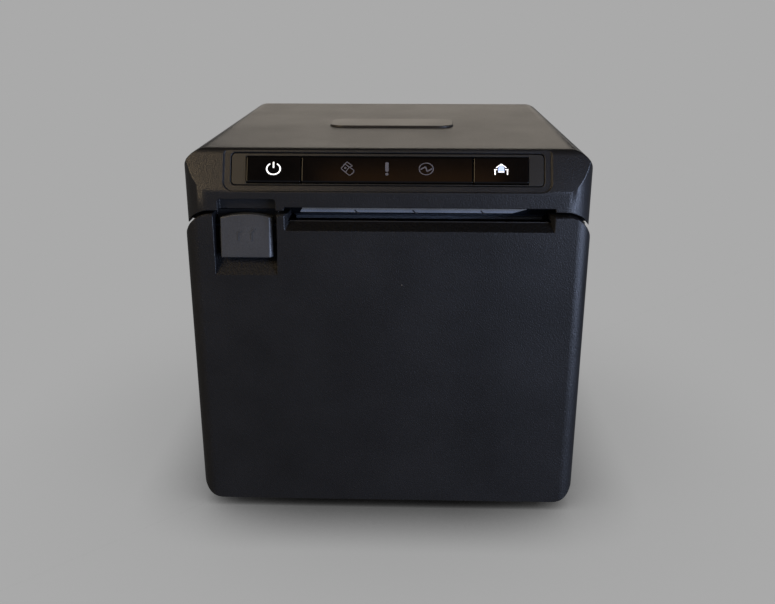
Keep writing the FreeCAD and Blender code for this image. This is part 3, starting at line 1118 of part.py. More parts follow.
def make_cutter():
    half = "(paper_width / 2 + rubber_margin)"
    low, high = f"path_centre - {half}", f"path_centre + {half}"
    points = [(low, "blade_rest"), ("path_centre", "blade_rest + blade_rake"), (high, "blade_rest"),
              (high, "rack_foot"),
              (f"{high} + rack_width", "rack_foot"), (f"{high} + rack_width", "blade_top"),
              (f"{low} - rack_width", "blade_top"), (f"{low} - rack_width", "rack_foot"),
              (low, "rack_foot")]
    blade = prism("blade_sheet", "XZ_Plane", points, BLADE_Y, BLADE_BACK)
    racks = []
    for name, start, _ in rack_spans():
        place = FreeCAD.Placement(V(num(start), num(BLADE_BACK), num(CUTTER_Z)), FreeCAD.Rotation())
        racks.append(feature(f"rack_{name}", rack_shape(), place))
    piece("moving_blade", fuse("blade_sum", blade, *racks))

    shaft_end = f"{PLATE_RIGHT} + sheet"
    piece("cutter_shaft", rod("cutter_axle", "X", GEAR_PLATE_LOW, shaft_end, (CUTTER_Y, CUTTER_Z),
                              "cutter_shaft_radius"))
    facing = math.pi
    pinions = [gear(f"rack_pinion_{name}", "rack_teeth", facing, "rack_width",
                    "cutter_shaft_radius + running_fit / 5",
                    (start, CUTTER_Y, CUTTER_Z)) for name, start, _ in rack_spans()]
    piece("rack_pinions", group("rack_pinion_pair", pinions))
    lean = math.radians(num("cutter_lean"))
    piece("cutter_gear", gear("cutter_wheel", "cutter_teeth", lean, "cutter_gear_width",
                              "cutter_shaft_radius + running_fit / 5",
                              (CUT_LOW, CUTTER_Y, CUTTER_Z)))
    phase = meshed(lean, "cutter_teeth", "cutter_pinion_teeth", lean)
    piece("cutter_pinion", gear("cutter_pinion_wheel", "cutter_pinion_teeth", phase, "cutter_gear_width",
                                "motor_shaft_radius + running_fit / 5",
                                (CUT_LOW, CUT_PINION_Y, CUT_PINION_Z)))
    centre = (CUT_PINION_Y, CUT_PINION_Z)
    piece("cutter_motor", motor("cutter", "cutter_motor_radius", "cutter_motor_length", centre))
    piece("cutter_motor_shaft", rod("cutter_motor_axle", "X", f"{GEAR_PLATE_LOW} - motor_fit", CUT_HIGH,
                                    centre, "motor_shaft_radius"))

    inside = (f"{PLATE_LEFT} + fit / 2", f"{PLATE_RIGHT} - fit / 2")
    middle = (f"{low} + fit * 2", f"{high} - fit * 2")
    face = block("cutter_face", middle, (f"{BLADE_BACK} + blade_play", f"{BLADE_BACK} + rack_thick"),
                 ("guard_foot", FRAME_TOP_UNDER))
    rail = block("cutter_rail", inside, (f"{BLADE_BACK} + rack_thick + 2 * fit",
                                         f"{BLADE_BACK} + rack_thick + rail_depth"),
                 (f"{FRAME_TOP_UNDER} - sheet", FRAME_TOP_UNDER))
    bridge = block("cutter_bridge", middle,
                   (f"{BLADE_BACK} + blade_play", f"{BLADE_BACK} + rack_thick + rail_depth"),
                   (f"{FRAME_TOP_UNDER} - sheet", FRAME_TOP_UNDER))
    piece("cutter_frame", fuse("cutter_frame_sum", face, rail, bridge))
    piece("cutter_guard", block("guard_plate", inside,
                                (f"{BLADE_Y} - blade_play - guard_thick", f"{BLADE_Y} - blade_play"),
                                ("guard_foot", "blade_top - sheet")))
    piece("tear_bar", block("tear_strip", (f"{SLOT_LOW} + fit", f"{SLOT_HIGH} - fit"),
                            (f"{FRONT} + wall + fit", f"{FRONT} + wall + fit + tear_bar_thick"),
                            ("tear_bar_foot", "tear_bar_foot + tear_bar_height")))


# Paper bin


def make_paper_bin():
    low, high = f"{BIN_LOW} - bin_side", f"{BIN_HIGH} + bin_side"
    centre = (ROLL_Y, ROLL_Z)
    drum = rod("bin_drum", "X", low, high, centre, "roll_radius + bin_wall")
    foot = block("bin_seat", (low, high), (f"{ROLL_Y} - bin_foot", f"{ROLL_Y} + bin_foot"),
                 (FLOOR_TOP, f"{FLOOR_TOP} + bin_foot_rise"))
    bosses = []
    for name, y in frame_screw_places():
        bosses.append(rod(f"bin_boss_l{name}", "X", PLATE_LEFT, BIN_LOW, (y, "frame_screw_height"),
                          "frame_boss_radius"))
        bosses.append(rod(f"bin_boss_r{name}", "X", BIN_HIGH, PLATE_RIGHT, (y, "frame_screw_height"),
                          "frame_boss_radius"))
    cheek_y = (f"{FRONT} + frame_screw_front - frame_boss_radius",
               f"{FRONT} + frame_screw_rear + frame_boss_radius")
    cheek_z = (ROLL_Z, "frame_screw_height + frame_boss_radius")
    cheeks = [block("bin_cheek_left", (low, BIN_LOW), cheek_y, cheek_z),
              block("bin_cheek_right", (BIN_HIGH, high), cheek_y, cheek_z)]
    solid = fuse("bin_sum", drum, foot, *cheeks, *bosses)
    tools = [rod("bin_hollow", "X", BIN_LOW, BIN_HIGH, centre, "roll_radius"),
             block("bin_front", (BIN_LOW, BIN_HIGH),
                   (f"{ROLL_Y} - 2 * roll_radius", f"{FRONT} + bin_mouth_rear"),
                   ("bin_mouth", "case_height"))]
    guide_back = f"({FRONT} + guide_front + guide_length)"
    tools.append(block("guide_room", (PLATE_LEFT, PLATE_RIGHT), (FRONT, f"{guide_back} + guide_thick"),
                       ("guide_foot - sensor_height - guide_thick", "case_height")))
    for name, y in frame_screw_places():
        tools.append(rod(f"bin_pilot_{name}", "X", PLATE_LEFT, PLATE_RIGHT, (y, "frame_screw_height"),
                         "screw_radius + fit / 4"))
    piece("paper_bin", cut("bin_cut", solid, *tools))

    front = f"({FRONT} + guide_front)"
    back = f"({front} + guide_length)"
    points = [(front, "guide_foot + guide_rise"), (back, "guide_foot"),
              (back, "guide_foot + guide_thick"),
              (front, "guide_foot + guide_rise + guide_thick")]
    inside = (f"{PLATE_LEFT} + fit / 2", f"{PLATE_RIGHT} - fit / 2")
    piece("paper_guide", prism("guide_plate", "YZ_Plane", points, *inside))
    piece("paper_sensor", block("sensor_block",
                                ("path_centre - sensor_width / 2", "path_centre + sensor_width / 2"),
                                (f"{back} - sensor_depth", back),
                                ("guide_foot - sensor_height", "guide_foot")))


# Rear electronics


def board_posts():
    return [(f"{i}{j}", f"{sign} * post_side", z) for i, sign in enumerate((-1, 1))
            for j, z in enumerate(("post_low", "post_high"))]


SOCKETS = ("power", "usb", "lan", "drawer")


def socket_box(name, grow):
    x = (f"{name}_side - {name}_width / 2 - ({grow})", f"{name}_side + {name}_width / 2 + ({grow})")
    z = (f"socket_height - {name}_tall / 2 - ({grow})", f"socket_height + {name}_tall / 2 + ({grow})")
    return x, z


def make_electronics():
    piece("main_board", block("board_sheet", ("-board_width / 2", "board_width / 2"),
                              (BOARD_Y, f"{BOARD_Y} + board_thick"),
                              ("board_foot", "board_foot + board_height")))
    start, end = f"({BOARD_Y} + board_thick)", f"({BOARD_Y} + board_thick + socket_reach)"
    windows = []
    for name in SOCKETS:
        x, z = socket_box(name, "0")
        body = block(f"{name}_body", x, (start, end), z)
        if name == "power":
            mouth = rod("power_mouth", "Y", f"{start} + socket_bottom", f"{end} + wall",
                        (f"{name}_side", "socket_height"), "power_bore")
        else:
            x, z = socket_box(name, "-socket_wall")
            mouth = block(f"{name}_mouth", x, (f"{start} + socket_bottom", f"{end} + wall"), z)
        piece(f"{name}_socket", cut(f"{name}_cut", body, mouth))
        x, z = socket_box(name, "fit")
        windows.append(block(f"{name}_window", x, (start, f"{end} + wall"), z))
    plate = block("connector_sheet", ("-bay_width / 2 - plate_margin", "bay_width / 2 + plate_margin"),
                  (f"{REAR} - wall - plate_thick", f"{REAR} - wall"),
                  ("bay_foot - plate_margin", "bay_foot + bay_height + plate_margin"))
    piece("connector_plate", cut("connector_cut", plate, *windows))


def check_and_write():
    """Stop on any failed object or bad shape, then write one file per sub-part."""
    DOC.recompute()
    failed = [o.Label for o in DOC.Objects if {"Invalid", "Error"} & set(o.State)]
    bad = [n for n, o in PIECES.items() if o.Shape.isNull() or not o.Shape.isValid() or o.Shape.Volume <= 0]
    if failed or bad:
        raise RuntimeError(f"failed objects {failed}; bad shapes {bad}")
    os.makedirs("parts", exist_ok=True)
    for node, obj in PIECES.items():
        obj.Shape.exportStep(f"parts/{node}.step")


def main():
    fill_sheet()
    make_base_plate()
    make_feet_and_base_screws()
    make_body_shell()
    make_upper_casing()
    make_panel()
    make_badge()
    make_front_cover()
    make_cover_liner()
    make_lever()
    make_platen()
    make_feed_gears()
    make_mechanism_frame()
    make_head()
    make_cutter()
    make_paper_bin()
    make_electronics()
    check_and_write()


main()
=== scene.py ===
"""Looks of a cube-shaped thermal receipt printer, laid out as a Blender add-on and run as a script."""
import json
import math
from contextlib import contextmanager

import bmesh
import bpy
from mathutils import Matrix, Vector

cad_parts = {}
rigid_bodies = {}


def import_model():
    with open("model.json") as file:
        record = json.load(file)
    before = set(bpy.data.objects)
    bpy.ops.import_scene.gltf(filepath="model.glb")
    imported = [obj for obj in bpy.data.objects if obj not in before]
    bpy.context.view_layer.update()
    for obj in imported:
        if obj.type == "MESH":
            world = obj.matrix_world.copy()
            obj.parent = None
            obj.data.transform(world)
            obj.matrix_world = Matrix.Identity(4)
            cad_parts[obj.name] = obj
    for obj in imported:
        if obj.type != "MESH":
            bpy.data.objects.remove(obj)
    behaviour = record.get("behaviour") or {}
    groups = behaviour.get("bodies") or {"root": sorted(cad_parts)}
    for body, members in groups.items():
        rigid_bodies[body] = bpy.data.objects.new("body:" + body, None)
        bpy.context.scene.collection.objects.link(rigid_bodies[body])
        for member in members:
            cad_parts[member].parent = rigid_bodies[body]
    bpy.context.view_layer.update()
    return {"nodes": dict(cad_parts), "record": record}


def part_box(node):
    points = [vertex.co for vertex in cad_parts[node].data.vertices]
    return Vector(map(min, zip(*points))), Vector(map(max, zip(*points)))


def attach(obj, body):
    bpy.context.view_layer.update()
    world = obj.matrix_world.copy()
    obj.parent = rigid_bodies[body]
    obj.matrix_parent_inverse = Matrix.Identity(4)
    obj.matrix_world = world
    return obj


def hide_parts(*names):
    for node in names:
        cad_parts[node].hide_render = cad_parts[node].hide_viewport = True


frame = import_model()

bl_info = {
    "name": "Receipt printer",
    "version": (1, 0, 0),
    "blender": (4, 5, 0),
    "location": "View3D > Sidebar > Printer",
    "description": "Dresses the packed solids of a thermal receipt printer",
    "category": "Object",
}

NODES = frame["nodes"]
BEHAVIOUR = frame["record"]["behaviour"]
BODY_OF = {node: body for body, nodes in BEHAVIOUR["bodies"].items() for node in nodes}
SLOT_OF = {part["node"]: part["material_slot"] for part in frame["record"]["subparts"]}
JOINTS = {joint["name"]: joint for joint in BEHAVIOUR["joints"]}

MM = 0.001
RIGHT = Vector((1, 0, 0))
UP = Vector((0, 0, 1))
# The control panel's plane: its keys travel along the inward normal.
PANEL_OUT = -Vector(JOINTS["power_press"]["axis"]).normalized()
PANEL_UP = PANEL_OUT.cross(RIGHT)


def srgb(text):
    """A linear colour from an sRGB hex value."""
    shares = [int(text[i:i + 2], 16) / 255 for i in (1, 3, 5)]
    return tuple(c / 12.92 if c <= 0.04045 else ((c + 0.055) / 1.055) ** 2.4 for c in shares)


def colour(label, about, text):
    return bpy.props.FloatVectorProperty(name=label, description=about, default=srgb(text), size=3,
                                         min=0, max=1, subtype="COLOR")


def length(label, about, millimetres):
    return bpy.props.FloatProperty(name=label, description=about, default=millimetres * MM, min=0,
                                   precision=5, unit="LENGTH", subtype="DISTANCE")


class PrinterColours(bpy.types.PropertyGroup):
    """Colours of the printer's finishes."""
    casing: colour("Casing", "Grained black mouldings of the outside", "#111215")
    inner: colour("Inner mouldings", "Plain black mouldings of the paper path", "#111113")
    bezel: colour("Bezel", "Satin plate round the buttons", "#12110F")
    # The lever's paler grey is painted sheen on the casing's black plastic
    lever: colour("Lever", "Satin grey moulding of the open lever", "#303338")
    gloss: colour("Gloss strip", "Polished buttons and indicator window", "#060505")
    lit_ink: colour("Lit ink", "Backlit white pictograms", "#FFFFFF")
    lit_fill: colour("Lit fill", "Backlit bluish fill of the feed arrow", "#AFC0EC")
    dim_ink: colour("Dim ink", "Unlit pictograms of the indicator window", "#4A4A52")
    steel: colour("Sheet steel", "Plated sheet of the frame", "#B9BCC1")
    acetal: colour("Gear plastic", "White moulded gears and bushes", "#E4E2DA")
    brass: colour("Brass", "Cut pinions", "#C7A257")
    board: colour("Circuit board", "Solder mask", "#123F22")
    backdrop: colour("Backdrop", "Plain floor and background", "#AAAAAA")
    room: colour("Room", "Dim room in front, which shiny faces mirror", "#6E7A94")
    ceiling: colour("Ceiling", "Dark warm ceiling, which shiny faces mirror", "#2A2520")


class PrinterSizes(bpy.types.PropertyGroup):
    """Sizes of the finishing details."""
    casing_edge: length("Casing edge", "Round on the edges of the outer mouldings", 0.28)
    key_edge: length("Key edge", "Round on the edges of the buttons and the window", 0.16)
    inner_edge: length("Inner edge", "Round on the edges of the inner mouldings", 0.2)
    sheet_edge: length("Sheet edge", "Deburred edge of sheet metal", 0.08)
    casting_edge: length("Casting edge", "Round on motors, the heat sink and switches", 0.14)
    tooth_edge: length("Tooth edge", "Round on the gears' teeth", 0.05)
    socket_edge: length("Socket edge", "Round on the rear sockets", 0.12)
    foot_edge: length("Foot edge", "Round on the rubber feet", 0.7)
    lever_edge: length("Lever edge", "Round on the edges of the open lever", 0.4)
    tear_band: length("Tear band", "Height of the bright band of the tear bar", 1.15)
    tear_lean: length("Tear lean", "Lean of the bright band", 0.3)
    ink: length("Ink", "Thickness of the pictograms", 0.03)
    stroke: length("Stroke", "Width of the pictograms' strokes", 0.42)
    thin_stroke: length("Thin stroke", "Width of the unlit pictograms' strokes", 0.3)
    ink_rise: length("Ink rise", "How far the pictograms lie above the middle of the strip", 0.35)
    icon: length("Pictogram", "Width of the pictograms", 4.6)


def sizes():
    """The sizes of the finishing details, as the sidebar shows them."""
    return bpy.context.scene.printer_sizes


def colours():
    """The colours of the finishes, as the sidebar shows them."""
    return bpy.context.scene.printer_colours


# Working on a mesh

# Faces that meet at less than this are shaded as one surface
SMOOTH_ANGLE = math.radians(32)
# Edges that are sharper than this get a round
ROUNDED_ANGLE = math.radians(38)
# Corners of a loose CAD mesh that are nearer than this are one corner, and flatter faces are one face
MERGE_REACH = 0.002 * MM
FLAT_ANGLE = math.radians(0.5)


def choose(piece):
    """Make one object the only one selected, and active."""
    for other in list(bpy.context.selected_objects):
        other.select_set(False)
    piece.select_set(True)
    bpy.context.view_layer.objects.active = piece


@contextmanager
def editing(piece):
    """Edit mode on one object; gives its mesh for choosing faces and edges by place."""
    choose(piece)
    bpy.ops.object.mode_set(mode="EDIT")
    yield bmesh.from_edit_mesh(piece.data)
    bpy.ops.object.mode_set(mode="OBJECT")


def pick(piece, mesh, faces):
    """Select these faces alone."""
    bpy.ops.mesh.select_mode(type="FACE")
    bpy.ops.mesh.select_all(action="DESELECT")
    for face in faces:
        face.select_set(True)
    bmesh.update_edit_mesh(piece.data)


def finish_modifier(piece, kind, **settings):
    """Add a modifier and apply it."""
    choose(piece)
    modifier = piece.modifiers.new(kind.title(), kind)
    for name, value in settings.items():
        setattr(modifier, name, value)
    bpy.ops.object.modifier_apply(modifier=modifier.name)


def smooth(piece):
    """Shade a piece smooth across its rounds, with its flat faces left flat."""
    choose(piece)
    bpy.ops.object.shade_smooth_by_angle(angle=SMOOTH_ANGLE)
    finish_modifier(piece, "WEIGHTED_NORMAL", keep_sharp=True)


def place(piece, origin, across, along):
    """Move a piece drawn flat on XY to a plane given by its origin and two directions."""
    out = across.cross(along)
    piece.matrix_world = Matrix((across, along, out)).transposed().to_4x4()
    piece.location = origin
    choose(piece)
    bpy.ops.object.transform_apply(location=True, rotation=True, scale=True)


def clad(piece, material):
    """Give a piece one material all over."""
    piece.data.materials.clear()
    piece.data.materials.append(material)


def seat(piece, node, material=None):
    """Let a piece ride with a node's body, clad in a material if one is named."""
    if material:
        clad(piece, material)
    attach(piece, BODY_OF[node])


def span(node, direction):
    """Lowest and highest reach of a node along a direction."""
    reach = [v.co.dot(direction) for v in NODES[node].data.vertices]
    return min(reach), max(reach)


def softened(node, width, material, segments=3):
    """A copy of a node with its sharp edges rounded, which stands for the node."""
    piece = bpy.data.objects.new(node + "_soft", NODES[node].data.copy())
    bpy.context.collection.objects.link(piece)
    with editing(piece):
        bpy.ops.mesh.customdata_custom_splitnormals_clear()
        bpy.ops.mesh.select_all(action="SELECT")
        bpy.ops.mesh.remove_doubles(threshold=MERGE_REACH)
        bpy.ops.mesh.dissolve_limited(angle_limit=FLAT_ANGLE)
    finish_modifier(piece, "BEVEL", width=width, segments=segments, limit_method="ANGLE",
                    angle_limit=ROUNDED_ANGLE, use_clamp_overlap=False,
                    miter_outer="MITER_ARC", offset_type="OFFSET")
    smooth(piece)
    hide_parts(node)
    seat(piece, node, material)
    return piece


# Materials

# Spacing of the patterns in millimetres: flow marks, cells of which a few hold a dust speck, tarnish
FLOW_MARKS = 22
DUST_CELLS = 5
TARNISH = 9
# A dust speck's reach as a share of its cell, and its colour
DUST_REACH = 0.035
DUST_TONE = "#77736B"
# Depth of the lines that a tool leaves in metal, in millimetres
TOOL_DEPTH = 0.004


def add_node(tree, kind, inputs=None, **settings):
    """Add a shader node; inputs maps a socket to a value or to another node's output."""
    made = tree.nodes.new("ShaderNode" + kind)
    for name, value in settings.items():
        setattr(made, name, value)
    for key, value in (inputs or {}).items():
        if isinstance(value, bpy.types.NodeSocket):
            tree.links.new(value, made.inputs[key])
        else:
            made.inputs[key].default_value = value
    return made


def rgba(tone, gain=1.0):
    """A colour socket's value, paler or darker by a gain."""
    return (*[c * gain for c in tone], 1.0)


def blank_material(name):
    """A new material: its tree, its Principled shader and its Object coordinates."""
    material = bpy.data.materials.new(name)
    material.use_nodes = True
    tree = material.node_tree
    shader = next(n for n in tree.nodes if n.type == "BSDF_PRINCIPLED")
    where = add_node(tree, "TexCoord").outputs["Object"]
    return material, tree, shader, where


def per_metre(millimetres):
    """A texture scale whose pattern repeats every so many millimetres."""
    return 1 / (millimetres * MM)


def moulded_plastic(name, tone, roughness, grain, depth, specular=0.5, dust=0.0):
    """Injection-moulded plastic: a spark-eroded grain, faint cloudy flow marks and a few dust specks."""
    material, tree, shader, where = blank_material(name)
    cloud = add_node(tree, "TexNoise", {"Vector": where, "Scale": per_metre(FLOW_MARKS), "Detail": 3})
    fine = add_node(tree, "TexNoise", {"Vector": where, "Scale": per_metre(grain), "Detail": 2,
                                       "Roughness": 0.6})
    blend = add_node(tree, "Math", {0: cloud.outputs["Fac"], 1: fine.outputs["Fac"]}, operation="MULTIPLY")
    ramp = add_node(tree, "ValToRGB", {"Fac": blend.outputs[0]})
    ramp.color_ramp.elements[0].position = 0.1
    ramp.color_ramp.elements[0].color = rgba(tone, 0.72)
    ramp.color_ramp.elements[1].position = 0.42
    ramp.color_ramp.elements[1].color = rgba(tone, 1.3)
    surface = ramp.outputs["Color"]
    if dust:
        cells = add_node(tree, "TexVoronoi", {"Vector": where, "Scale": per_metre(DUST_CELLS),
                                              "Randomness": 1})
        split = add_node(tree, "SeparateColor", {"Color": cells.outputs["Color"]})
        rare = add_node(tree, "Math", {0: split.outputs[0], 1: 1 - dust}, operation="GREATER_THAN")
        near = add_node(tree, "Math", {0: cells.outputs["Distance"], 1: DUST_REACH}, operation="LESS_THAN")
        speck = add_node(tree, "Math", {0: rare.outputs[0], 1: near.outputs[0]}, operation="MULTIPLY")
        dusty = add_node(tree, "Mix", {"Factor": speck.outputs[0], "A": surface,
                                       "B": rgba(srgb(DUST_TONE))}, data_type="RGBA")
        surface = dusty.outputs["Result"]
    tree.links.new(surface, shader.inputs["Base Color"])
    rough = add_node(tree, "MapRange", {"Value": cloud.outputs["Fac"], "To Min": roughness - 0.05,
                                        "To Max": roughness + 0.06})
    tree.links.new(rough.outputs[0], shader.inputs["Roughness"])
    bump = add_node(tree, "Bump", {"Height": fine.outputs["Fac"], "Strength": 1.0, "Distance": depth * MM})
    tree.links.new(bump.outputs[0], shader.inputs["Normal"])
    shader.inputs["Specular IOR Level"].default_value = specular
    return material


def worked_metal(name, tone, roughness, streak, stretch):
    """Worked metal: streaks left by the tool, longer along one direction, with uneven tarnish."""
    material, tree, shader, where = blank_material(name)
    turned = add_node(tree, "Mapping", {"Vector": where, "Scale": stretch})
    lines = add_node(tree, "TexNoise", {"Vector": turned.outputs[0], "Scale": per_metre(streak),
                                        "Detail": 4})
    cloud = add_node(tree, "TexNoise", {"Vector": where, "Scale": per_metre(TARNISH), "Detail": 4})
    ramp = add_node(tree, "ValToRGB", {"Fac": cloud.outputs["Fac"]})
    ramp.color_ramp.elements[0].position = 0.3
    ramp.color_ramp.elements[0].color = rgba(tone, 0.78)
    ramp.color_ramp.elements[1].position = 0.7
    ramp.color_ramp.elements[1].color = rgba(tone)
    tree.links.new(ramp.outputs["Color"], shader.inputs["Base Color"])
    rough = add_node(tree, "MapRange", {"Value": lines.outputs["Fac"], "To Min": roughness - 0.08,
                                        "To Max": roughness + 0.1})
    tree.links.new(rough.outputs[0], shader.inputs["Roughness"])
    bump = add_node(tree, "Bump", {"Height": lines.outputs["Fac"], "Distance": TOOL_DEPTH * MM,
                                   "Strength": 0.5})
    tree.links.new(bump.outputs[0], shader.inputs["Normal"])
    shader.inputs["Metallic"].default_value = 1.0
    return material


def gloss_acrylic():
    """Polished black acrylic: a hard clear reflection over almost no colour, very slightly wavy."""
    material, tree, shader, where = blank_material("acrylic_polished_black")
    cloud = add_node(tree, "TexNoise", {"Vector": where, "Scale": per_metre(6), "Detail": 2})
    ramp = add_node(tree, "ValToRGB", {"Fac": cloud.outputs["Fac"]})
    ramp.color_ramp.elements[0].color = rgba(colours().gloss, 0.7)
    ramp.color_ramp.elements[1].color = rgba(colours().gloss, 1.3)
    tree.links.new(ramp.outputs["Color"], shader.inputs["Base Color"])
    rough = add_node(tree, "MapRange", {"Value": cloud.outputs["Fac"], "To Min": 0.06, "To Max": 0.13})
    tree.links.new(rough.outputs[0], shader.inputs["Roughness"])
    wave = add_node(tree, "Bump", {"Height": cloud.outputs["Fac"], "Distance": 0.01 * MM, "Strength": 0.5})
    tree.links.new(wave.outputs[0], shader.inputs["Normal"])
    shader.inputs["IOR"].default_value = 1.49
    return material


def printed_ink(name, tone, glow=0.0):
    """Screen-printed ink: a slightly uneven matte film, lit from behind where it glows."""
    material, tree, shader, where = blank_material(name)
    spread = add_node(tree, "TexNoise", {"Vector": where, "Scale": per_metre(0.5), "Detail": 2})
    ramp = add_node(tree, "ValToRGB", {"Fac": spread.outputs["Fac"]})
    ramp.color_ramp.elements[0].color = rgba(tone, 0.86)
    ramp.color_ramp.elements[1].color = rgba(tone)
    tree.links.new(ramp.outputs["Color"], shader.inputs["Base Color"])
    shader.inputs["Roughness"].default_value = 0.55
    if glow:
        tree.links.new(ramp.outputs["Color"], shader.inputs["Emission Color"])
        shader.inputs["Emission Strength"].default_value = glow
    return material


def solder_mask():
    """Green solder mask over etched copper: tracks show as paler lines under a glossy lacquer."""
    material, tree, shader, where = blank_material("solder_mask_green")
    tracks = add_node(tree, "TexBrick", {"Vector": where, "Scale": per_metre(14), "Mortar Size": 0.02,
                                         "Color1": rgba(colours().board),
                                         "Color2": rgba(colours().board, 0.8),
                                         "Mortar": rgba(colours().board, 1.7)})
    tree.links.new(tracks.outputs["Color"], shader.inputs["Base Color"])
    cloud = add_node(tree, "TexNoise", {"Vector": where, "Scale": per_metre(4), "Detail": 3})
    rough = add_node(tree, "MapRange", {"Value": cloud.outputs["Fac"], "To Min": 0.24, "To Max": 0.42})
    tree.links.new(rough.outputs[0], shader.inputs["Roughness"])
    bump = add_node(tree, "Bump", {"Height": tracks.outputs["Fac"], "Distance": 0.03 * MM, "Strength": 0.6})
    tree.links.new(bump.outputs[0], shader.inputs["Normal"])
    return material


def lamp_resin():
    """Clear lamp resin: slightly milky, with a soft inner glow of the light around."""
    material, tree, shader, where = blank_material("epoxy_lamp_resin_clear")
    cloud = add_node(tree, "TexNoise", {"Vector": where, "Scale": per_metre(1.5), "Detail": 2})
    ramp = add_node(tree, "ValToRGB", {"Fac": cloud.outputs["Fac"]})
    ramp.color_ramp.elements[0].color = rgba(srgb("#C9C9C2"))
    ramp.color_ramp.elements[1].color = rgba(srgb("#E6E6E0"))
    tree.links.new(ramp.outputs["Color"], shader.inputs["Base Color"])
    rough = add_node(tree, "MapRange", {"Value": cloud.outputs["Fac"], "To Min": 0.12, "To Max": 0.26})
    tree.links.new(rough.outputs[0], shader.inputs["Roughness"])
    shader.inputs["Transmission Weight"].default_value = 0.5
    shader.inputs["IOR"].default_value = 1.53
    return material


MATERIALS = {}


def make_materials():
    """One material for each finish of the record, and those that only the scene tells apart.

    Mouldings: name, colour, roughness, grain and its depth in millimetres, specular level.
    Metals: name, colour, roughness, spacing of the tool's lines in millimetres, their stretch.
    """
    tone = colours()
    along_x, along_z, even = (0.03, 1, 1), (1, 1, 0.03), (1, 1, 1)
    MATERIALS.update({
        # ABS from a spark-eroded mould: an even fine grain, satin, never glossy
        "case_black": moulded_plastic("ABS_grained_black", tone.casing, 0.42, 0.42, 0.1, 0.4, dust=0.05),
        # The same ABS on the cover's up-facing ledges at the slot, with a coarser, duller grain and dust;
        # its darker colour is painted shade
        "ledge_painted_shade": moulded_plastic("ABS_black_ledge_painted_shade", srgb("#060607"), 0.62, 0.7, 0.3, 0.08, dust=0.2),
        # The lever's scoop: a coarse dull grain and dust, in a colour a little darker than the casing as
        # painted shade
        "scoop_painted_shade": moulded_plastic("ABS_black_scoop_painted_shade", srgb("#0F1013"), 0.6, 0.7, 0.3, 0.2, dust=0.1),
        # Plate let into the top: finer satin than the casing round it
        "badge_satin": moulded_plastic("ABS_satin_plate", srgb("#24221F"), 0.4, 0.45, 0.03, 0.5),
        # ABS from a plain mould: smoother and blacker
        "inner_black": moulded_plastic("ABS_plain_black", tone.inner, 0.5, 0.8, 0.02, 0.4),
        # Satin plate with the finest grain
        "bezel_satin": moulded_plastic("ABS_satin_bezel", tone.bezel, 0.5, 0.45, 0.03, 0.5),
        # The casing's black ABS with a satin grain, drawn paler grey as painted sheen on the lever's
        # up-tilted face
        "lever_grey": moulded_plastic("ABS_black_painted_sheen", tone.lever, 0.42, 0.5, 0.03, 0.5),
        # Cast acrylic, polished: mirrors the room
        "gloss_black": gloss_acrylic(),
        # Rubber: dull, with a ground surface that scatters light
        "foot_rubber": moulded_plastic("rubber_moulded_black", srgb("#141414"), 0.8, 0.6, 0.03, 0.3),
        # The platen's rubber is ground true: finer, with a faint sheen
        "platen_rubber": moulded_plastic("rubber_ground_black", srgb("#1A1A1B"), 0.72, 0.3, 0.02, 0.3),
        # Zinc-plated sheet: rolled lines along the sheet
        "sheet_steel": worked_metal("steel_sheet_zinc_plated", tone.steel, 0.34, 0.25, along_x),
        # Ground blade steel: fine bright lines along the edge
        "blade_steel": worked_metal("steel_blade_ground", srgb("#C4C6CA"), 0.24, 0.12, along_x),
        # Turned bright steel pins and axles
        "bright_steel": worked_metal("steel_bright_turned", srgb("#C8C8CA"), 0.2, 0.15, (1, 0.05, 0.05)),
        # Drawn spring wire and dull plated screws
        "spring_steel": worked_metal("steel_spring_wire", srgb("#A6A6A6"), 0.28, 0.2, even),
        "screw_steel": worked_metal("steel_screw_dark_zinc", srgb("#77777A"), 0.38, 0.2, even),
        # Acetal: white, slightly waxy
        "white_acetal": moulded_plastic("acetal_moulded_white", tone.acetal, 0.38, 0.7, 0.01, 0.5),
        # Gold-plated contacts: smooth, with a faint drawn line
        "contact_gold": worked_metal("bronze_gold_plated", srgb("#D8B25E"), 0.24, 0.1, along_z),
        # Cut brass: warm, with lines from the cutter
        "pinion_brass": worked_metal("brass_cut", tone.brass, 0.3, 0.2, (1, 0.1, 0.1)),
        # Drawn and plated motor can
        "motor_can": worked_metal("steel_can_nickel_plated", srgb("#9A9A9C"), 0.3, 0.3, (0.05, 1, 1)),
        # Extruded aluminium, anodised dark so that it sheds heat
        "sink_aluminium": worked_metal("aluminium_anodised_dark", srgb("#5A6068"), 0.45, 0.2, along_x),
        # Alumina under a dark glaze and sealing resin: hard and nearly even
        "head_ceramic": moulded_plastic("alumina_glazed_dark", srgb("#5C636D"), 0.3, 0.6, 0.006, 0.5),
        # Lacquered circuit boards, and the nylon of the parts on them
        "board_green": solder_mask(),
        "switch_black": moulded_plastic("nylon_component_black", srgb("#1B1B1C"), 0.48, 0.4, 0.015, 0.4),
        # Tinned shields of the sockets, and the resin of the lamps
        "socket_metal": worked_metal("steel_shield_tinned", srgb("#C2C3C6"), 0.28, 0.3, along_z),
        "lamp_clear": lamp_resin(),
        # White ink lit from behind, and grey ink that is not
        "lit_ink": printed_ink("ink_white_backlit", tone.lit_ink, 0.95),
        "lit_fill": printed_ink("ink_bluish_backlit", tone.lit_fill, 0.55),
        "dim_ink": printed_ink("ink_grey_printed", tone.dim_ink),
        # Blackened steel of the lever's pin, dark with a soft sheen; on the cutter's guard behind the tear
        # bar this dark tone is painted shade
        "black_oxide_and_painted_shade": worked_metal("steel_blackened_and_painted_shade", srgb("#23272D"), 0.42, 0.2, along_x),
    })


# Operators, one for each piece or group of like pieces


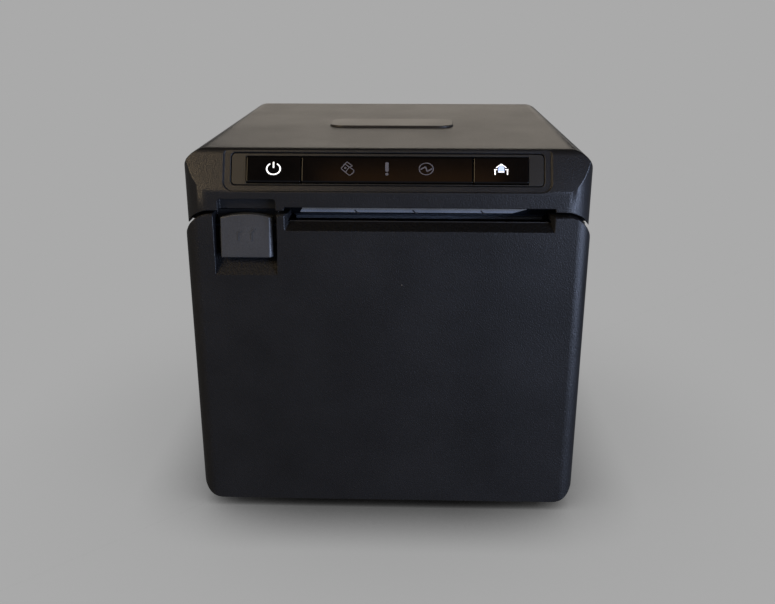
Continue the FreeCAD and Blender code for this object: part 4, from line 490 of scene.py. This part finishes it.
class PRINTER_OT_finishes(bpy.types.Operator):
    """Make every finish and give it to the solids that keep their own shape"""
    bl_idname = "printer.finishes"
    bl_label = "Finishes"

    def execute(self, context):
        make_materials()
        for node, obj in NODES.items():
            clad(obj, MATERIALS[SLOT_OF[node]])
        return {"FINISHED"}


class PRINTER_OT_casings(bpy.types.Operator):
    """Round the edges of the outer mouldings, the badge plate and the feet"""
    bl_idname = "printer.casings"
    bl_label = "Casings and feet"

    def execute(self, context):
        for node in ("upper_casing", "body_shell", "base_plate"):
            softened(node, sizes().casing_edge, MATERIALS["case_black"])
        softened("badge_plate", sizes().casing_edge, MATERIALS["badge_satin"])
        # The cover's up-facing ledges get a darker finish as painted shade
        paint_shade_on_ledges(softened("front_cover", sizes().casing_edge, MATERIALS["case_black"]))
        softened("rubber_feet", sizes().foot_edge, MATERIALS["foot_rubber"])
        return {"FINISHED"}


# A ledge leans forward and up by at least this, and lies within this reach of the slot or the lever
LEDGE_TILT = 0.2
LEDGE_MARGIN = 7 * MM


def paint_shade_on_ledges(cover):
    """Paint shade on the cover's upward ledges, at the paper slot and round the lever: a darker, coarser
    and duller finish on the faces that lean forward and up.
    """
    for finish in ("ledge_painted_shade", "scoop_painted_shade"):
        cover.data.materials.append(MATERIALS[finish])
    slot, lever = span("tear_bar", RIGHT), span("open_lever", RIGHT)
    foot = span("open_lever", UP)[0] - LEDGE_MARGIN
    for face in cover.data.polygons:
        if face.center.z < foot or face.normal.z < LEDGE_TILT or face.normal.y > -LEDGE_TILT:
            continue
        for index, (low, high) in ((1, slot), (2, lever)):
            if low - LEDGE_MARGIN < face.center.x < high + LEDGE_MARGIN:
                face.material_index = index


class PRINTER_OT_panel(bpy.types.Operator):
    """Round the bezel, the buttons and the window, and print the pictograms"""
    bl_idname = "printer.panel"
    bl_label = "Control panel"

    def execute(self, context):
        softened("panel_bezel", sizes().key_edge, MATERIALS["bezel_satin"])
        for node in ("indicator_window", "power_button", "feed_button"):
            softened(node, sizes().key_edge, MATERIALS["gloss_black"])
        print_pictograms()
        return {"FINISHED"}


# Pictograms, drawn flat in millimetres and then laid on the gloss strip
PICTOGRAM_SQUASH = 0.84
RING_CORNERS = 48
DISC_CORNERS = 32
POWER_CENTRE = (0, -0.25)
POWER_GAP = math.radians(62)
POWER_FOOT = (0, 0.1)
# The feed sign in shares of the pictograms' width, apart from the level of its shoulders
FEED_POST = 0.41
FEED_POST_FOOT = 0.44
FEED_SHOULDER = (0.47, 0.26)
FEED_SHOULDER_LEVEL = -0.1
FEED_ROOF_TOP = 0.42
FEED_EAVES = (0.34, 0.12)
FEED_SILL = (0.2, 0.22)
FEED_HEAD = (0.2, 0.24)
FEED_HEAD_SQUASH = 0.8
FEED_STEM_TOP = 0.14
FEED_STEM_WIDE = 0.4
# Its strokes in shares of the full stroke
POST_WEIGHT = 0.8
ROOF_WEIGHT = 0.7
SILL_WEIGHT = 0.6
ROLL_OUTLINE = ((-2.0, -0.05), (-1.95, 0.25), (-0.95, 1.5), (-0.65, 1.5), (1.75, -0.5), (1.95, -0.9),
                (1.85, -1.35), (0.95, -2.3), (0.6, -2.45), (0.25, -2.3), (-2.0, -0.05))
ROLL_TAIL = ((-1.35, 1.2), (-0.23, 2.45), (1.4, 0.96), (0.7, 0.55))
ROLL_RIM = ((0.45, 0.5), (-0.6, -1.2))
ROLL_CORE = (-0.75, 0.2)
ROLL_CORE_RADIUS = 0.34
ALARM_ENDS = ((0, -0.6), (0, 1.9))
ALARM_RADIUS = 0.525
ALARM_DOT = (0, -2.0)
ALARM_DOT_RADIUS = 0.5
FLASH = ((-1.75, -0.2), (-0.2, 0.8), (0.3, -0.95), (1.8, 0.15))
FLASH_WEIGHT = 1.5
# The outer pictograms stand this far inside the outer edges of the lamps behind them
LAMP_INSET = 1.1 * MM


def sketch(name):
    """An empty piece to which strokes or blocks are added in edit mode."""
    drawing = bpy.data.objects.new(name, bpy.data.meshes.new(name))
    bpy.context.collection.objects.link(drawing)
    return drawing


def bar(start, end, width):
    """A straight stroke between two places."""
    a, b = Vector((*start, 0)), Vector((*end, 0))
    run = b - a
    bpy.ops.mesh.primitive_plane_add(size=1, location=(a + b) / 2 * MM)
    angle = math.atan2(run.y, run.x)
    bpy.ops.transform.resize(value=(run.length * MM, width * MM, 1))
    bpy.ops.transform.rotate(value=-angle, orient_axis="Z", center_override=(a + b) / 2 * MM)


def trace(places, width):
    """A run of straight strokes from place to place."""
    for start, end in zip(places, places[1:]):
        bar(start, end, width)


def ring(drawing, centre, radius, width, gap=0.0):
    """A round stroke, open at its top over an angle."""
    middle = Vector((*centre, 0)) * MM
    outer = radius + width / 2
    bpy.ops.mesh.primitive_circle_add(vertices=RING_CORNERS, radius=outer * MM, fill_type="NOTHING",
                                      location=middle)
    bpy.ops.mesh.extrude_edges_move()
    inner = (radius - width / 2) / outer
    bpy.ops.transform.resize(value=(inner, inner, 1), center_override=middle)
    if gap:
        bpy.ops.mesh.select_linked()
        mesh = bmesh.from_edit_mesh(drawing.data)
        open_faces = [f for f in mesh.faces if f.select and
                      abs((f.calc_center_median() - middle).xy.angle_signed((0, 1))) < gap / 2]
        pick(drawing, mesh, open_faces)
        bpy.ops.mesh.delete(type="FACE")


def disc(centre, radius, corners=DISC_CORNERS, squash=1.0):
    """A filled round or many-cornered patch."""
    middle = Vector((*centre, 0)) * MM
    bpy.ops.mesh.primitive_circle_add(vertices=corners, radius=radius * MM, fill_type="NGON",
                                      location=middle)
    bpy.ops.transform.resize(value=(1, squash, 1), center_override=middle)


def thicken(drawing, thickness, offset):
    """Give a drawing's strokes their thickness and melt them into one closed shape."""
    finish_modifier(drawing, "SOLIDIFY", thickness=thickness, offset=offset)
    with editing(drawing):
        bpy.ops.mesh.select_all(action="SELECT")
        bpy.ops.mesh.intersect_boolean(operation="UNION", use_self=True, solver="EXACT")


def lay_ink(drawing, node, material, x, lift=0.0):
    """Thicken a drawing and lay it, drawn low and wide, on a node's polished face."""
    choose(drawing)
    drawing.scale = (1, PICTOGRAM_SQUASH, 1)
    bpy.ops.object.transform_apply(location=False, rotation=False, scale=True)
    thicken(drawing, sizes().ink, 1)
    low, high = span(node, PANEL_UP)
    face = span(node, PANEL_OUT)[1]
    origin = RIGHT * x + PANEL_UP * ((low + high) / 2 + sizes().ink_rise) + PANEL_OUT * (face + lift)
    place(drawing, origin, RIGHT, PANEL_UP)
    seat(drawing, node, MATERIALS[material])


def print_pictograms():
    """Lay the signs of the two keys and of the three lamps on the gloss strip."""
    wide = sizes().icon / MM
    stroke, thin = sizes().stroke / MM, sizes().thin_stroke / MM
    centre = {node: sum(span(node, RIGHT)) / 2 for node in ("power_button", "feed_button")}

    power = sketch("power_pictogram")
    with editing(power):
        ring(power, POWER_CENTRE, (wide - stroke) / 2, stroke, POWER_GAP)
        bar(POWER_FOOT, (0, wide / 2), stroke)
    lay_ink(power, "power_button", "lit_ink", centre["power_button"])

    feed = sketch("feed_pictogram")
    with editing(feed):
        for side in (-1, 1):
            post = side * wide * FEED_POST
            bar((post, -wide * FEED_POST_FOOT), (post, 0), stroke * POST_WEIGHT)
            outer, inner = (side * wide * share for share in FEED_SHOULDER)
            bar((outer, FEED_SHOULDER_LEVEL), (inner, FEED_SHOULDER_LEVEL), stroke * ROOF_WEIGHT)
            eaves = (side * wide * FEED_EAVES[0], wide * FEED_EAVES[1])
            bar((0, wide * FEED_ROOF_TOP), eaves, stroke * ROOF_WEIGHT)
        sill, level = wide * FEED_SILL[0], -wide * FEED_SILL[1]
        bar((-sill, level), (sill, level), stroke * SILL_WEIGHT)
    lay_ink(feed, "feed_button", "lit_ink", centre["feed_button"], sizes().ink / 2)
    fill = sketch("feed_pictogram_fill")
    with editing(fill):
        disc((0, wide * FEED_HEAD[0]), wide * FEED_HEAD[1], corners=3, squash=FEED_HEAD_SQUASH)
        bar((0, level), (0, wide * FEED_STEM_TOP), wide * FEED_STEM_WIDE)
    lay_ink(fill, "feed_button", "lit_fill", centre["feed_button"])

    roll = sketch("paper_pictogram")
    with editing(roll):
        for run in (ROLL_OUTLINE, ROLL_TAIL, ROLL_RIM):
            trace(run, thin)
        disc(ROLL_CORE, ROLL_CORE_RADIUS)
    first, last = span("indicator_lamps", RIGHT)
    pitch = (last - first) / 2 - LAMP_INSET
    lay_ink(roll, "indicator_window", "dim_ink", -pitch)

    alarm = sketch("error_pictogram")
    with editing(alarm):
        bar(*ALARM_ENDS, ALARM_RADIUS * 2)
        for end in ALARM_ENDS:
            disc(end, ALARM_RADIUS)
        disc(ALARM_DOT, ALARM_DOT_RADIUS)
    lay_ink(alarm, "indicator_window", "dim_ink", 0)

    bolt = sketch("supply_pictogram")
    with editing(bolt):
        ring(bolt, (0, 0), (wide - thin) / 2, thin)
        trace(FLASH, thin * FLASH_WEIGHT)
    lay_ink(bolt, "indicator_window", "dim_ink", pitch)


class PRINTER_OT_lever(bpy.types.Operator):
    """Round the open lever, mould its sign and blacken its pin"""
    bl_idname = "printer.lever"
    bl_label = "Open lever"

    def execute(self, context):
        # The lever's paler grey material is painted sheen
        mould_lever_sign(softened("open_lever", sizes().lever_edge, MATERIALS["lever_grey"]))
        clad(NODES["lever_pin"], MATERIALS["black_oxide_and_painted_shade"])
        return {"FINISHED"}


# The lever's sign, drawn in millimetres; its place is found by a ray from this far before the lever
LEVER_SIGN_RUNS = (((-2.6, -1.4), (-2.6, 1.0), (-1.6, 1.5)), ((1.6, -1.4), (1.6, 1.0)),
                   ((1.2, 1.0), (2.9, 2.3), (1.9, 2.5)))
LEVER_SIGN_STROKE = 0.36
LEVER_SIGN_HEIGHT = 0.2 * MM
LEVER_SIGN_REACH = 10 * MM


def mould_lever_sign(lever):
    """A raised opening sign on the lever's face: two posts, and an arrow that leaves to the right."""
    sign = sketch("lever_sign")
    with editing(sign):
        for run in LEVER_SIGN_RUNS:
            trace(run, LEVER_SIGN_STROKE)
    thicken(sign, LEVER_SIGN_HEIGHT * 2, 0)
    low, high = (Vector(corner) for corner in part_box("open_lever"))
    before = Vector(((low.x + high.x) / 2, low.y - LEVER_SIGN_REACH, (low.z + high.z) / 2))
    bpy.context.view_layer.update()
    _, face, out, _ = lever.ray_cast(before, Vector((0, 1, 0)))
    place(sign, face, RIGHT, out.cross(RIGHT))
    seat(sign, "open_lever", MATERIALS["lever_grey"])


class PRINTER_OT_tear_bar(bpy.types.Operator):
    """Shape the tear bar with its bright leaning band, and darken the guard behind it with painted shade"""
    bl_idname = "printer.tear_bar"
    bl_label = "Tear bar and guard"

    def execute(self, context):
        shape_tear_bar()
        # The guard's blackened steel is painted shade behind the tear bar
        softened("cutter_guard", sizes().sheet_edge, MATERIALS["black_oxide_and_painted_shade"])
        return {"FINISHED"}


# The tear bar: its band stops short of the slot's left end and thins out to the right
TEAR_START = 5.2 * MM
TEAR_END = 8.5 * MM
TEAR_SLANT = 0.7 * MM
TEAR_TAPER = 4.5 * MM
TEAR_EDGE_ANGLE = math.radians(20)
# Faces whose normal leans forward by more than this are the bar's front
TEAR_FRONT = -0.9
# Corners this near to an end belong to it
END_REACH = 0.01 * MM
# The dark joints along the bar: where they are, and the strokes of one of them, in millimetres
TEAR_JOINTS = (-9.5, 8.5, 29.5)
TEAR_JOINT_RUNS = (((-0.5, 0.75), (0.3, 0.0)), ((0.2, 0.0), (1.2, -0.1)))
TEAR_JOINT_STROKE = 0.4


def block(low, high):
    """Add a block between two corners to the mesh that is being edited."""
    middle = (low + high) / 2
    bpy.ops.mesh.primitive_cube_add(size=1, location=middle)
    bpy.ops.transform.resize(value=high - low, center_override=middle)


def shape_tear_bar():
    """A steel bar whose band leans back above its foot, with dark joints along it."""
    low, high = (Vector(corner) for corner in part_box("tear_bar"))
    band_top = low.z + sizes().tear_band
    piece = sketch("tear_bar_steel")
    with editing(piece) as mesh:
        block(low + RIGHT * TEAR_START, high - RIGHT * TEAR_END)
        bpy.ops.mesh.bisect(plane_co=(0, 0, band_top), plane_no=UP)
        slant_ends(piece, mesh, low.z, band_top)
        mesh.faces.ensure_lookup_table()
        upper_front = [f for f in mesh.faces
                       if f.normal.y < TEAR_FRONT and f.calc_center_median().z > band_top]
        pick(piece, mesh, upper_front)
        bpy.ops.transform.translate(value=(0, sizes().tear_lean, 0))
    finish_modifier(piece, "BEVEL", width=sizes().sheet_edge, segments=2, limit_method="ANGLE",
                    angle_limit=TEAR_EDGE_ANGLE)
    smooth(piece)
    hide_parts("tear_bar")
    seat(piece, "tear_bar", MATERIALS["blade_steel"])

    joints = sketch("tear_bar_joints")
    with editing(joints):
        for x in TEAR_JOINTS:
            for start, end in TEAR_JOINT_RUNS:
                bar((x + start[0], start[1]), (x + end[0], end[1]), TEAR_JOINT_STROKE)
    thicken(joints, sizes().tear_lean, 0)
    place(joints, Vector((0, low.y + sizes().tear_lean / 2, low.z)), RIGHT, UP)
    seat(joints, "tear_bar", MATERIALS["switch_black"])


def slant_ends(piece, mesh, foot, band_top):
    """Draw the band's lower corners in: a short slant at the left, a long taper at the right."""
    bpy.ops.mesh.select_mode(type="VERT")
    ends = [v.co.x for v in mesh.verts]
    for end, step in ((min(ends), -TEAR_SLANT), (max(ends), -TEAR_TAPER)):
        bpy.ops.mesh.select_all(action="DESELECT")
        for vert in mesh.verts:
            lower = vert.co.z < (foot + band_top) / 2
            vert.select_set(lower and abs(vert.co.x - end) < END_REACH)
        bmesh.update_edit_mesh(piece.data)
        bpy.ops.transform.translate(value=(step, 0, 0))


class PRINTER_OT_sockets(bpy.types.Operator):
    """Round the sockets at the rear and fit their contacts"""
    bl_idname = "printer.sockets"
    bl_label = "Rear sockets"

    def execute(self, context):
        for node in ("power_socket", "lan_socket", "drawer_socket"):
            softened(node, sizes().socket_edge, MATERIALS[SLOT_OF[node]])
        fit_jack("lan_socket", 8)
        fit_jack("drawer_socket", 6)
        fit_tongue("usb_socket")
        fit_pins("power_socket")
        return {"FINISHED"}


# The sockets' walls and bottoms
SOCKET_WALL = 1.4 * MM
SOCKET_BOTTOM = 2.0 * MM
# Modular jacks: spring contacts that slant up from below the mouth's top, and shoulders beside the latch
SPRING_PITCH = 1.02 * MM
SPRING_WIDE = 0.4 * MM
SPRING_LONG = 6.5 * MM
SPRING_DROP = 2.4 * MM
SPRING_SLANT = math.radians(20)
SHOULDER_START = 0.48
SHOULDER_LONG = 7.9 * MM
SHOULDER_TALL = 1.7 * MM
# The data socket's tongue and its contact strips
TONGUE_SHARE = 0.62
TONGUE_LONG = 6.6 * MM
TONGUE_HALF = 1.55 * MM
STRIP_ASIDE = 1.25 * MM
STRIP_MIDDLE = 0.45
STRIP_HALF = (0.45 * MM, 0.44, 0.08 * MM)
# The power socket's pins and the circle that they stand on
PIN_RADIUS = 0.75 * MM
PIN_LONG = 6.0 * MM
PIN_CIRCLE = 2.4 * MM
PIN_TURNS = (90, 210, 330)
PIN_CORNERS = 24
PIN_DOME = 0.3 * MM
PIN_DOME_ANGLE = math.radians(60)


def socket_places(node):
    """The middle of a socket's bottom, and the half-width and half-height of its mouth."""
    low, high = (Vector(corner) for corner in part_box(node))
    bottom = Vector(((low.x + high.x) / 2, low.y + SOCKET_BOTTOM, (low.z + high.z) / 2))
    return bottom, (high.x - low.x) / 2 - SOCKET_WALL, (high.z - low.z) / 2 - SOCKET_WALL


def fit_jack(node, count):
    """A modular jack's row of slanting spring contacts, and the shoulders beside its latch notch."""
    bottom, half_wide, half_tall = socket_places(node)
    springs = sketch(node + "_springs")
    with editing(springs):
        for place_in_row in range(count):
            x = bottom.x + (place_in_row - (count - 1) / 2) * SPRING_PITCH
            start = Vector((x - SPRING_WIDE / 2, bottom.y, bottom.z + half_tall - SPRING_DROP))
            block(start, start + Vector((SPRING_WIDE, SPRING_LONG, SPRING_WIDE)))
            bpy.ops.transform.rotate(value=SPRING_SLANT, orient_axis="X", center_override=start)
    seat(springs, node, MATERIALS["contact_gold"])
    shoulders = sketch(node + "_shoulders")
    with editing(shoulders):
        for side in (-1, 1):
            inner = bottom + Vector((side * half_wide * SHOULDER_START, 0, -half_tall))
            outer = bottom + Vector((side * half_wide, SHOULDER_LONG, -half_tall + SHOULDER_TALL))
            low = Vector(map(min, inner, outer))
            block(low, Vector(map(max, inner, outer)))
    finish_modifier(shoulders, "BEVEL", width=sizes().socket_edge, segments=2)
    smooth(shoulders)
    seat(shoulders, node, MATERIALS["switch_black"])


def fit_tongue(node):
    """A square-mouthed data socket's tongue, with two contacts above and two below."""
    bottom, half_wide, _ = socket_places(node)
    aside = half_wide * TONGUE_SHARE
    tongue = sketch(node + "_tongue")
    with editing(tongue):
        block(bottom - Vector((aside, 0, TONGUE_HALF)), bottom + Vector((aside, TONGUE_LONG, TONGUE_HALF)))
    finish_modifier(tongue, "BEVEL", width=sizes().socket_edge * 2, segments=3)
    smooth(tongue)
    seat(tongue, node, MATERIALS["white_acetal"])
    strips = sketch(node + "_strips")
    half = Vector((STRIP_HALF[0], TONGUE_LONG * STRIP_HALF[1], STRIP_HALF[2]))
    with editing(strips):
        for side in (-1, 1):
            for level in (-1, 1):
                shift = Vector((side * STRIP_ASIDE, TONGUE_LONG * STRIP_MIDDLE, level * TONGUE_HALF))
                block(bottom + shift - half, bottom + shift + half)
    seat(strips, node, MATERIALS["contact_gold"])


def fit_pins(node):
    """A round power socket's three pins, with domed tips."""
    bottom, _, _ = socket_places(node)
    pins = sketch(node + "_pins")
    with editing(pins):
        for turn in PIN_TURNS:
            angle = math.radians(turn)
            aside, rise = math.cos(angle) * PIN_CIRCLE, math.sin(angle) * PIN_CIRCLE
            middle = bottom + Vector((aside, PIN_LONG / 2, rise))
            bpy.ops.mesh.primitive_cylinder_add(vertices=PIN_CORNERS, radius=PIN_RADIUS, depth=PIN_LONG,
                                                location=middle, rotation=(math.pi / 2, 0, 0))
    finish_modifier(pins, "BEVEL", width=PIN_DOME, segments=3, limit_method="ANGLE",
                    angle_limit=PIN_DOME_ANGLE)
    smooth(pins)
    seat(pins, node, MATERIALS["contact_gold"])


class PRINTER_OT_mechanism(bpy.types.Operator):
    """Round the edges of the liner, the paper path, the sheet parts, the motors and the gears"""
    bl_idname = "printer.mechanism"
    bl_label = "Mechanism"

    def execute(self, context):
        size = sizes()
        finishing = {
            size.inner_edge: ("cover_liner", "paper_bin", "paper_guide", "platen_bushes"),
            size.sheet_edge: ("mechanism_frame", "gear_plate", "cutter_frame", "moving_blade",
                              "fixed_blade"),
            size.casting_edge: ("head_heatsink", "feed_motor", "cutter_motor", "thermal_head",
                                "tact_switches"),
            size.tooth_edge: ("platen_gear", "idler_gear", "feed_pinion", "cutter_gear", "cutter_pinion",
                              "rack_pinions"),
        }
        for width, nodes in finishing.items():
            for node in nodes:
                softened(node, width, MATERIALS[SLOT_OF[node]], segments=2)
        return {"FINISHED"}


class PRINTER_OT_stage(bpy.types.Operator):
    """Lay the floor, hang the lamps and set the camera"""
    bl_idname = "printer.stage"
    bl_label = "Stage"

    def execute(self, context):
        lay_floor()
        light_room()
        set_camera()
        return {"FINISHED"}


FLOOR_SIZE = 60.0
FLOOR_DROP = 0.05 * MM
SHADOW_SAMPLES = 16
SHADOW_REACH = 27 * MM
# The shadow is deepest before the middle of the front, and faint beside the ends
SHADOW_MIDDLE = 20 * MM
SHADOW_ENDS = 68 * MM
SHADOW_DEPTH_MIDDLE = 1.9
SHADOW_DEPTH_ENDS = 0.9
# A wide faint painted shadow round the foot
WIDE_SHADE_REACH = 100 * MM
WIDE_SHADE_DEPTH = 0.35
# How bright the floor is where a shiny face mirrors it
FLOOR_IN_GLOSS = 0.26
# The mirrored room: where along a ray's direction it turns into the backdrop behind and the ceiling above
BEHIND_FROM = -0.1
BEHIND_TO = 0.5
ABOVE_FROM = 0.22
ABOVE_TO = 0.5
# Faint light from all around
FILL_TONE = "#FFF1DE"
FILL_LEVEL = 0.3
# Soft lamps: name, colour, brightness, width, height and place; all face one place on the printer
LAMPS = (
    ("cool_side", "#C9DAFF", 19.0, 0.34, 0.3, (0.46, -0.42, 0.06)),
    ("warm_left", "#FFE2B4", 9.5, 0.5, 0.4, (-0.6, -0.62, 0.62)),
    ("warm_back", "#FFF0DC", 0.9, 0.8, 0.6, (0.0, 1.4, 0.4)),
    ("warm_room", "#FFB872", 0.3, 0.36, 0.1, (0.0, -1.29, 0.98)),
)
LIT_PLACE = (0, 0, 0.07)


def backdrop_rays(tree):
    """True for the rays that see the plain backdrop: from the camera, off gloss or through clear pieces."""
    path = add_node(tree, "LightPath")
    some = add_node(tree, "Math", {0: path.outputs["Is Camera Ray"], 1: path.outputs["Is Glossy Ray"]},
                    operation="MAXIMUM")
    return add_node(tree, "Math", {0: some.outputs[0], 1: path.outputs["Is Transmission Ray"]},
                    operation="MAXIMUM").outputs[0]


def lay_floor():
    """A plain floor that runs into the backdrop and darkens round the printer's foot."""
    bpy.ops.mesh.primitive_plane_add(size=FLOOR_SIZE, location=(0, 0, -FLOOR_DROP))
    floor = bpy.context.active_object
    floor.name = "floor"
    bpy.ops.object.transform_apply(location=True, rotation=True, scale=True)
    material = bpy.data.materials.new("paper_backdrop_grey")
    material.use_nodes = True
    tree = material.node_tree
    tree.nodes.clear()
    tone = rgba(colours().backdrop)
    near = add_node(tree, "AmbientOcclusion", {"Distance": SHADOW_REACH}, samples=SHADOW_SAMPLES)
    place_on = add_node(tree, "SeparateXYZ", {0: add_node(tree, "TexCoord").outputs["Object"]})
    aside = add_node(tree, "Math", {0: place_on.outputs["X"]}, operation="ABSOLUTE")
    depth = add_node(tree, "MapRange", {"Value": aside.outputs[0], "From Min": SHADOW_MIDDLE,
                                        "From Max": SHADOW_ENDS, "To Min": SHADOW_DEPTH_MIDDLE,
                                        "To Max": SHADOW_DEPTH_ENDS}, interpolation_type="SMOOTHSTEP")
    shade = add_node(tree, "Math", {0: near.outputs["AO"], 1: depth.outputs[0]}, operation="POWER")
    wide = add_node(tree, "AmbientOcclusion", {"Distance": WIDE_SHADE_REACH}, samples=SHADOW_SAMPLES)
    wide_shade = add_node(tree, "Math", {0: wide.outputs["AO"], 1: WIDE_SHADE_DEPTH}, operation="POWER")
    both = add_node(tree, "Math", {0: shade.outputs[0], 1: wide_shade.outputs[0]}, operation="MULTIPLY")
    level = add_node(tree, "Mix", {"Factor": add_node(tree, "LightPath").outputs["Is Glossy Ray"],
                                   "A": both.outputs[0], "B": FLOOR_IN_GLOSS})
    shown = add_node(tree, "Emission", {"Color": tone, "Strength": level.outputs["Result"]})
    paper = add_node(tree, "BsdfDiffuse", {"Color": tone})
    mixed = add_node(tree, "MixShader", {0: backdrop_rays(tree), 1: paper.outputs[0], 2: shown.outputs[0]})
    add_node(tree, "OutputMaterial", {"Surface": mixed.outputs[0]})
    clad(floor, material)


def hang_softbox(name, tone, radiance, width, height, spot):
    """A soft rectangular lamp of a given brightness that faces the printer."""
    lamp = bpy.data.lights.new(name, "AREA")
    lamp.shape = "RECTANGLE"
    lamp.size, lamp.size_y = width, height
    lamp.energy = radiance * math.pi * width * height
    lamp.color = srgb(tone)
    holder = bpy.data.objects.new(name, lamp)
    bpy.context.collection.objects.link(holder)
    holder.location = spot
    holder.rotation_euler = (Vector(LIT_PLACE) - Vector(spot)).to_track_quat("-Z", "Y").to_euler()
    holder.visible_camera = False


def light_room():
    """The plain backdrop, the room that shiny faces mirror, and the lamps."""
    scene = bpy.context.scene
    scene.view_settings.view_transform = "Standard"
    world = bpy.data.worlds.new("studio")
    scene.world = world
    world.use_nodes = True
    tree = world.node_tree
    tree.nodes.clear()
    look = add_node(tree, "SeparateXYZ", {0: add_node(tree, "TexCoord").outputs["Generated"]})
    behind = add_node(tree, "MapRange", {"Value": look.outputs["Y"], "From Min": BEHIND_FROM,
                                         "From Max": BEHIND_TO})
    above = add_node(tree, "MapRange", {"Value": look.outputs["Z"], "From Min": ABOVE_FROM,
                                        "From Max": ABOVE_TO})
    around = add_node(tree, "Mix", {"Factor": behind.outputs[0], "A": rgba(colours().room),
                                    "B": rgba(colours().backdrop)}, data_type="RGBA")
    room = add_node(tree, "Mix", {"Factor": above.outputs[0], "A": around.outputs["Result"],
                                  "B": rgba(colours().ceiling)}, data_type="RGBA")
    mirrored = add_node(tree, "Background", {"Color": room.outputs["Result"], "Strength": 1.0})
    plain = add_node(tree, "Background", {"Color": rgba(colours().backdrop), "Strength": 1.0})
    dim = add_node(tree, "Background", {"Color": rgba(srgb(FILL_TONE)), "Strength": FILL_LEVEL})
    path = add_node(tree, "LightPath")
    seen = add_node(tree, "MixShader", {0: path.outputs["Is Camera Ray"], 1: mirrored.outputs[0],
                                        2: plain.outputs[0]})
    mixed = add_node(tree, "MixShader", {0: backdrop_rays(tree), 1: dim.outputs[0], 2: seen.outputs[0]})
    add_node(tree, "OutputWorld", {"Surface": mixed.outputs[0]})
    for lamp in LAMPS:
        hang_softbox(*lamp)


# Camera fitted to the photograph's edges
CAMERA_SPOT = Vector((8.27, -326.85, 166.2)) * MM
CAMERA_YAW = math.radians(-1.75)
CAMERA_PITCH = math.radians(19.15)
CAMERA_LENS = 40.53
CAMERA_NEAR = 0.01


def set_camera():
    """The camera at the photograph's place and angle."""
    camera = bpy.data.cameras.new("camera")
    camera.lens = CAMERA_LENS
    camera.clip_start = CAMERA_NEAR
    holder = bpy.data.objects.new("camera", camera)
    bpy.context.collection.objects.link(holder)
    holder.location = CAMERA_SPOT
    flat = math.cos(CAMERA_PITCH)
    ahead = Vector((math.sin(CAMERA_YAW) * flat, math.cos(CAMERA_YAW) * flat, -math.sin(CAMERA_PITCH)))
    holder.rotation_euler = ahead.to_track_quat("-Z", "Y").to_euler()
    bpy.context.scene.camera = holder


class PRINTER_PT_sidebar(bpy.types.Panel):
    """Lists the printer's operators, sizes and colours"""
    bl_idname = "PRINTER_PT_sidebar"
    bl_label = "Receipt printer"
    bl_space_type = "VIEW_3D"
    bl_region_type = "UI"
    bl_category = "Printer"

    def draw(self, context):
        for operator in OPERATORS:
            self.layout.operator(operator.bl_idname)
        for group in (context.scene.printer_sizes, context.scene.printer_colours):
            for name in group.__annotations__:
                self.layout.prop(group, name)


OPERATORS = (PRINTER_OT_finishes, PRINTER_OT_casings, PRINTER_OT_panel, PRINTER_OT_lever,
             PRINTER_OT_tear_bar, PRINTER_OT_sockets, PRINTER_OT_mechanism, PRINTER_OT_stage)
CLASSES = (PrinterColours, PrinterSizes, *OPERATORS, PRINTER_PT_sidebar)


def register():
    for cls in CLASSES:
        bpy.utils.register_class(cls)
    bpy.types.Scene.printer_sizes = bpy.props.PointerProperty(type=PrinterSizes)
    bpy.types.Scene.printer_colours = bpy.props.PointerProperty(type=PrinterColours)


def unregister():
    del bpy.types.Scene.printer_colours
    del bpy.types.Scene.printer_sizes
    for cls in reversed(CLASSES):
        bpy.utils.unregister_class(cls)


def main():
    """Register the add-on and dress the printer."""
    register()
    bpy.ops.printer.finishes()
    bpy.ops.printer.casings()
    bpy.ops.printer.panel()
    bpy.ops.printer.lever()
    bpy.ops.printer.tear_bar()
    bpy.ops.printer.sockets()
    bpy.ops.printer.mechanism()
    bpy.ops.printer.stage()


if __name__ == "__main__":
    main()
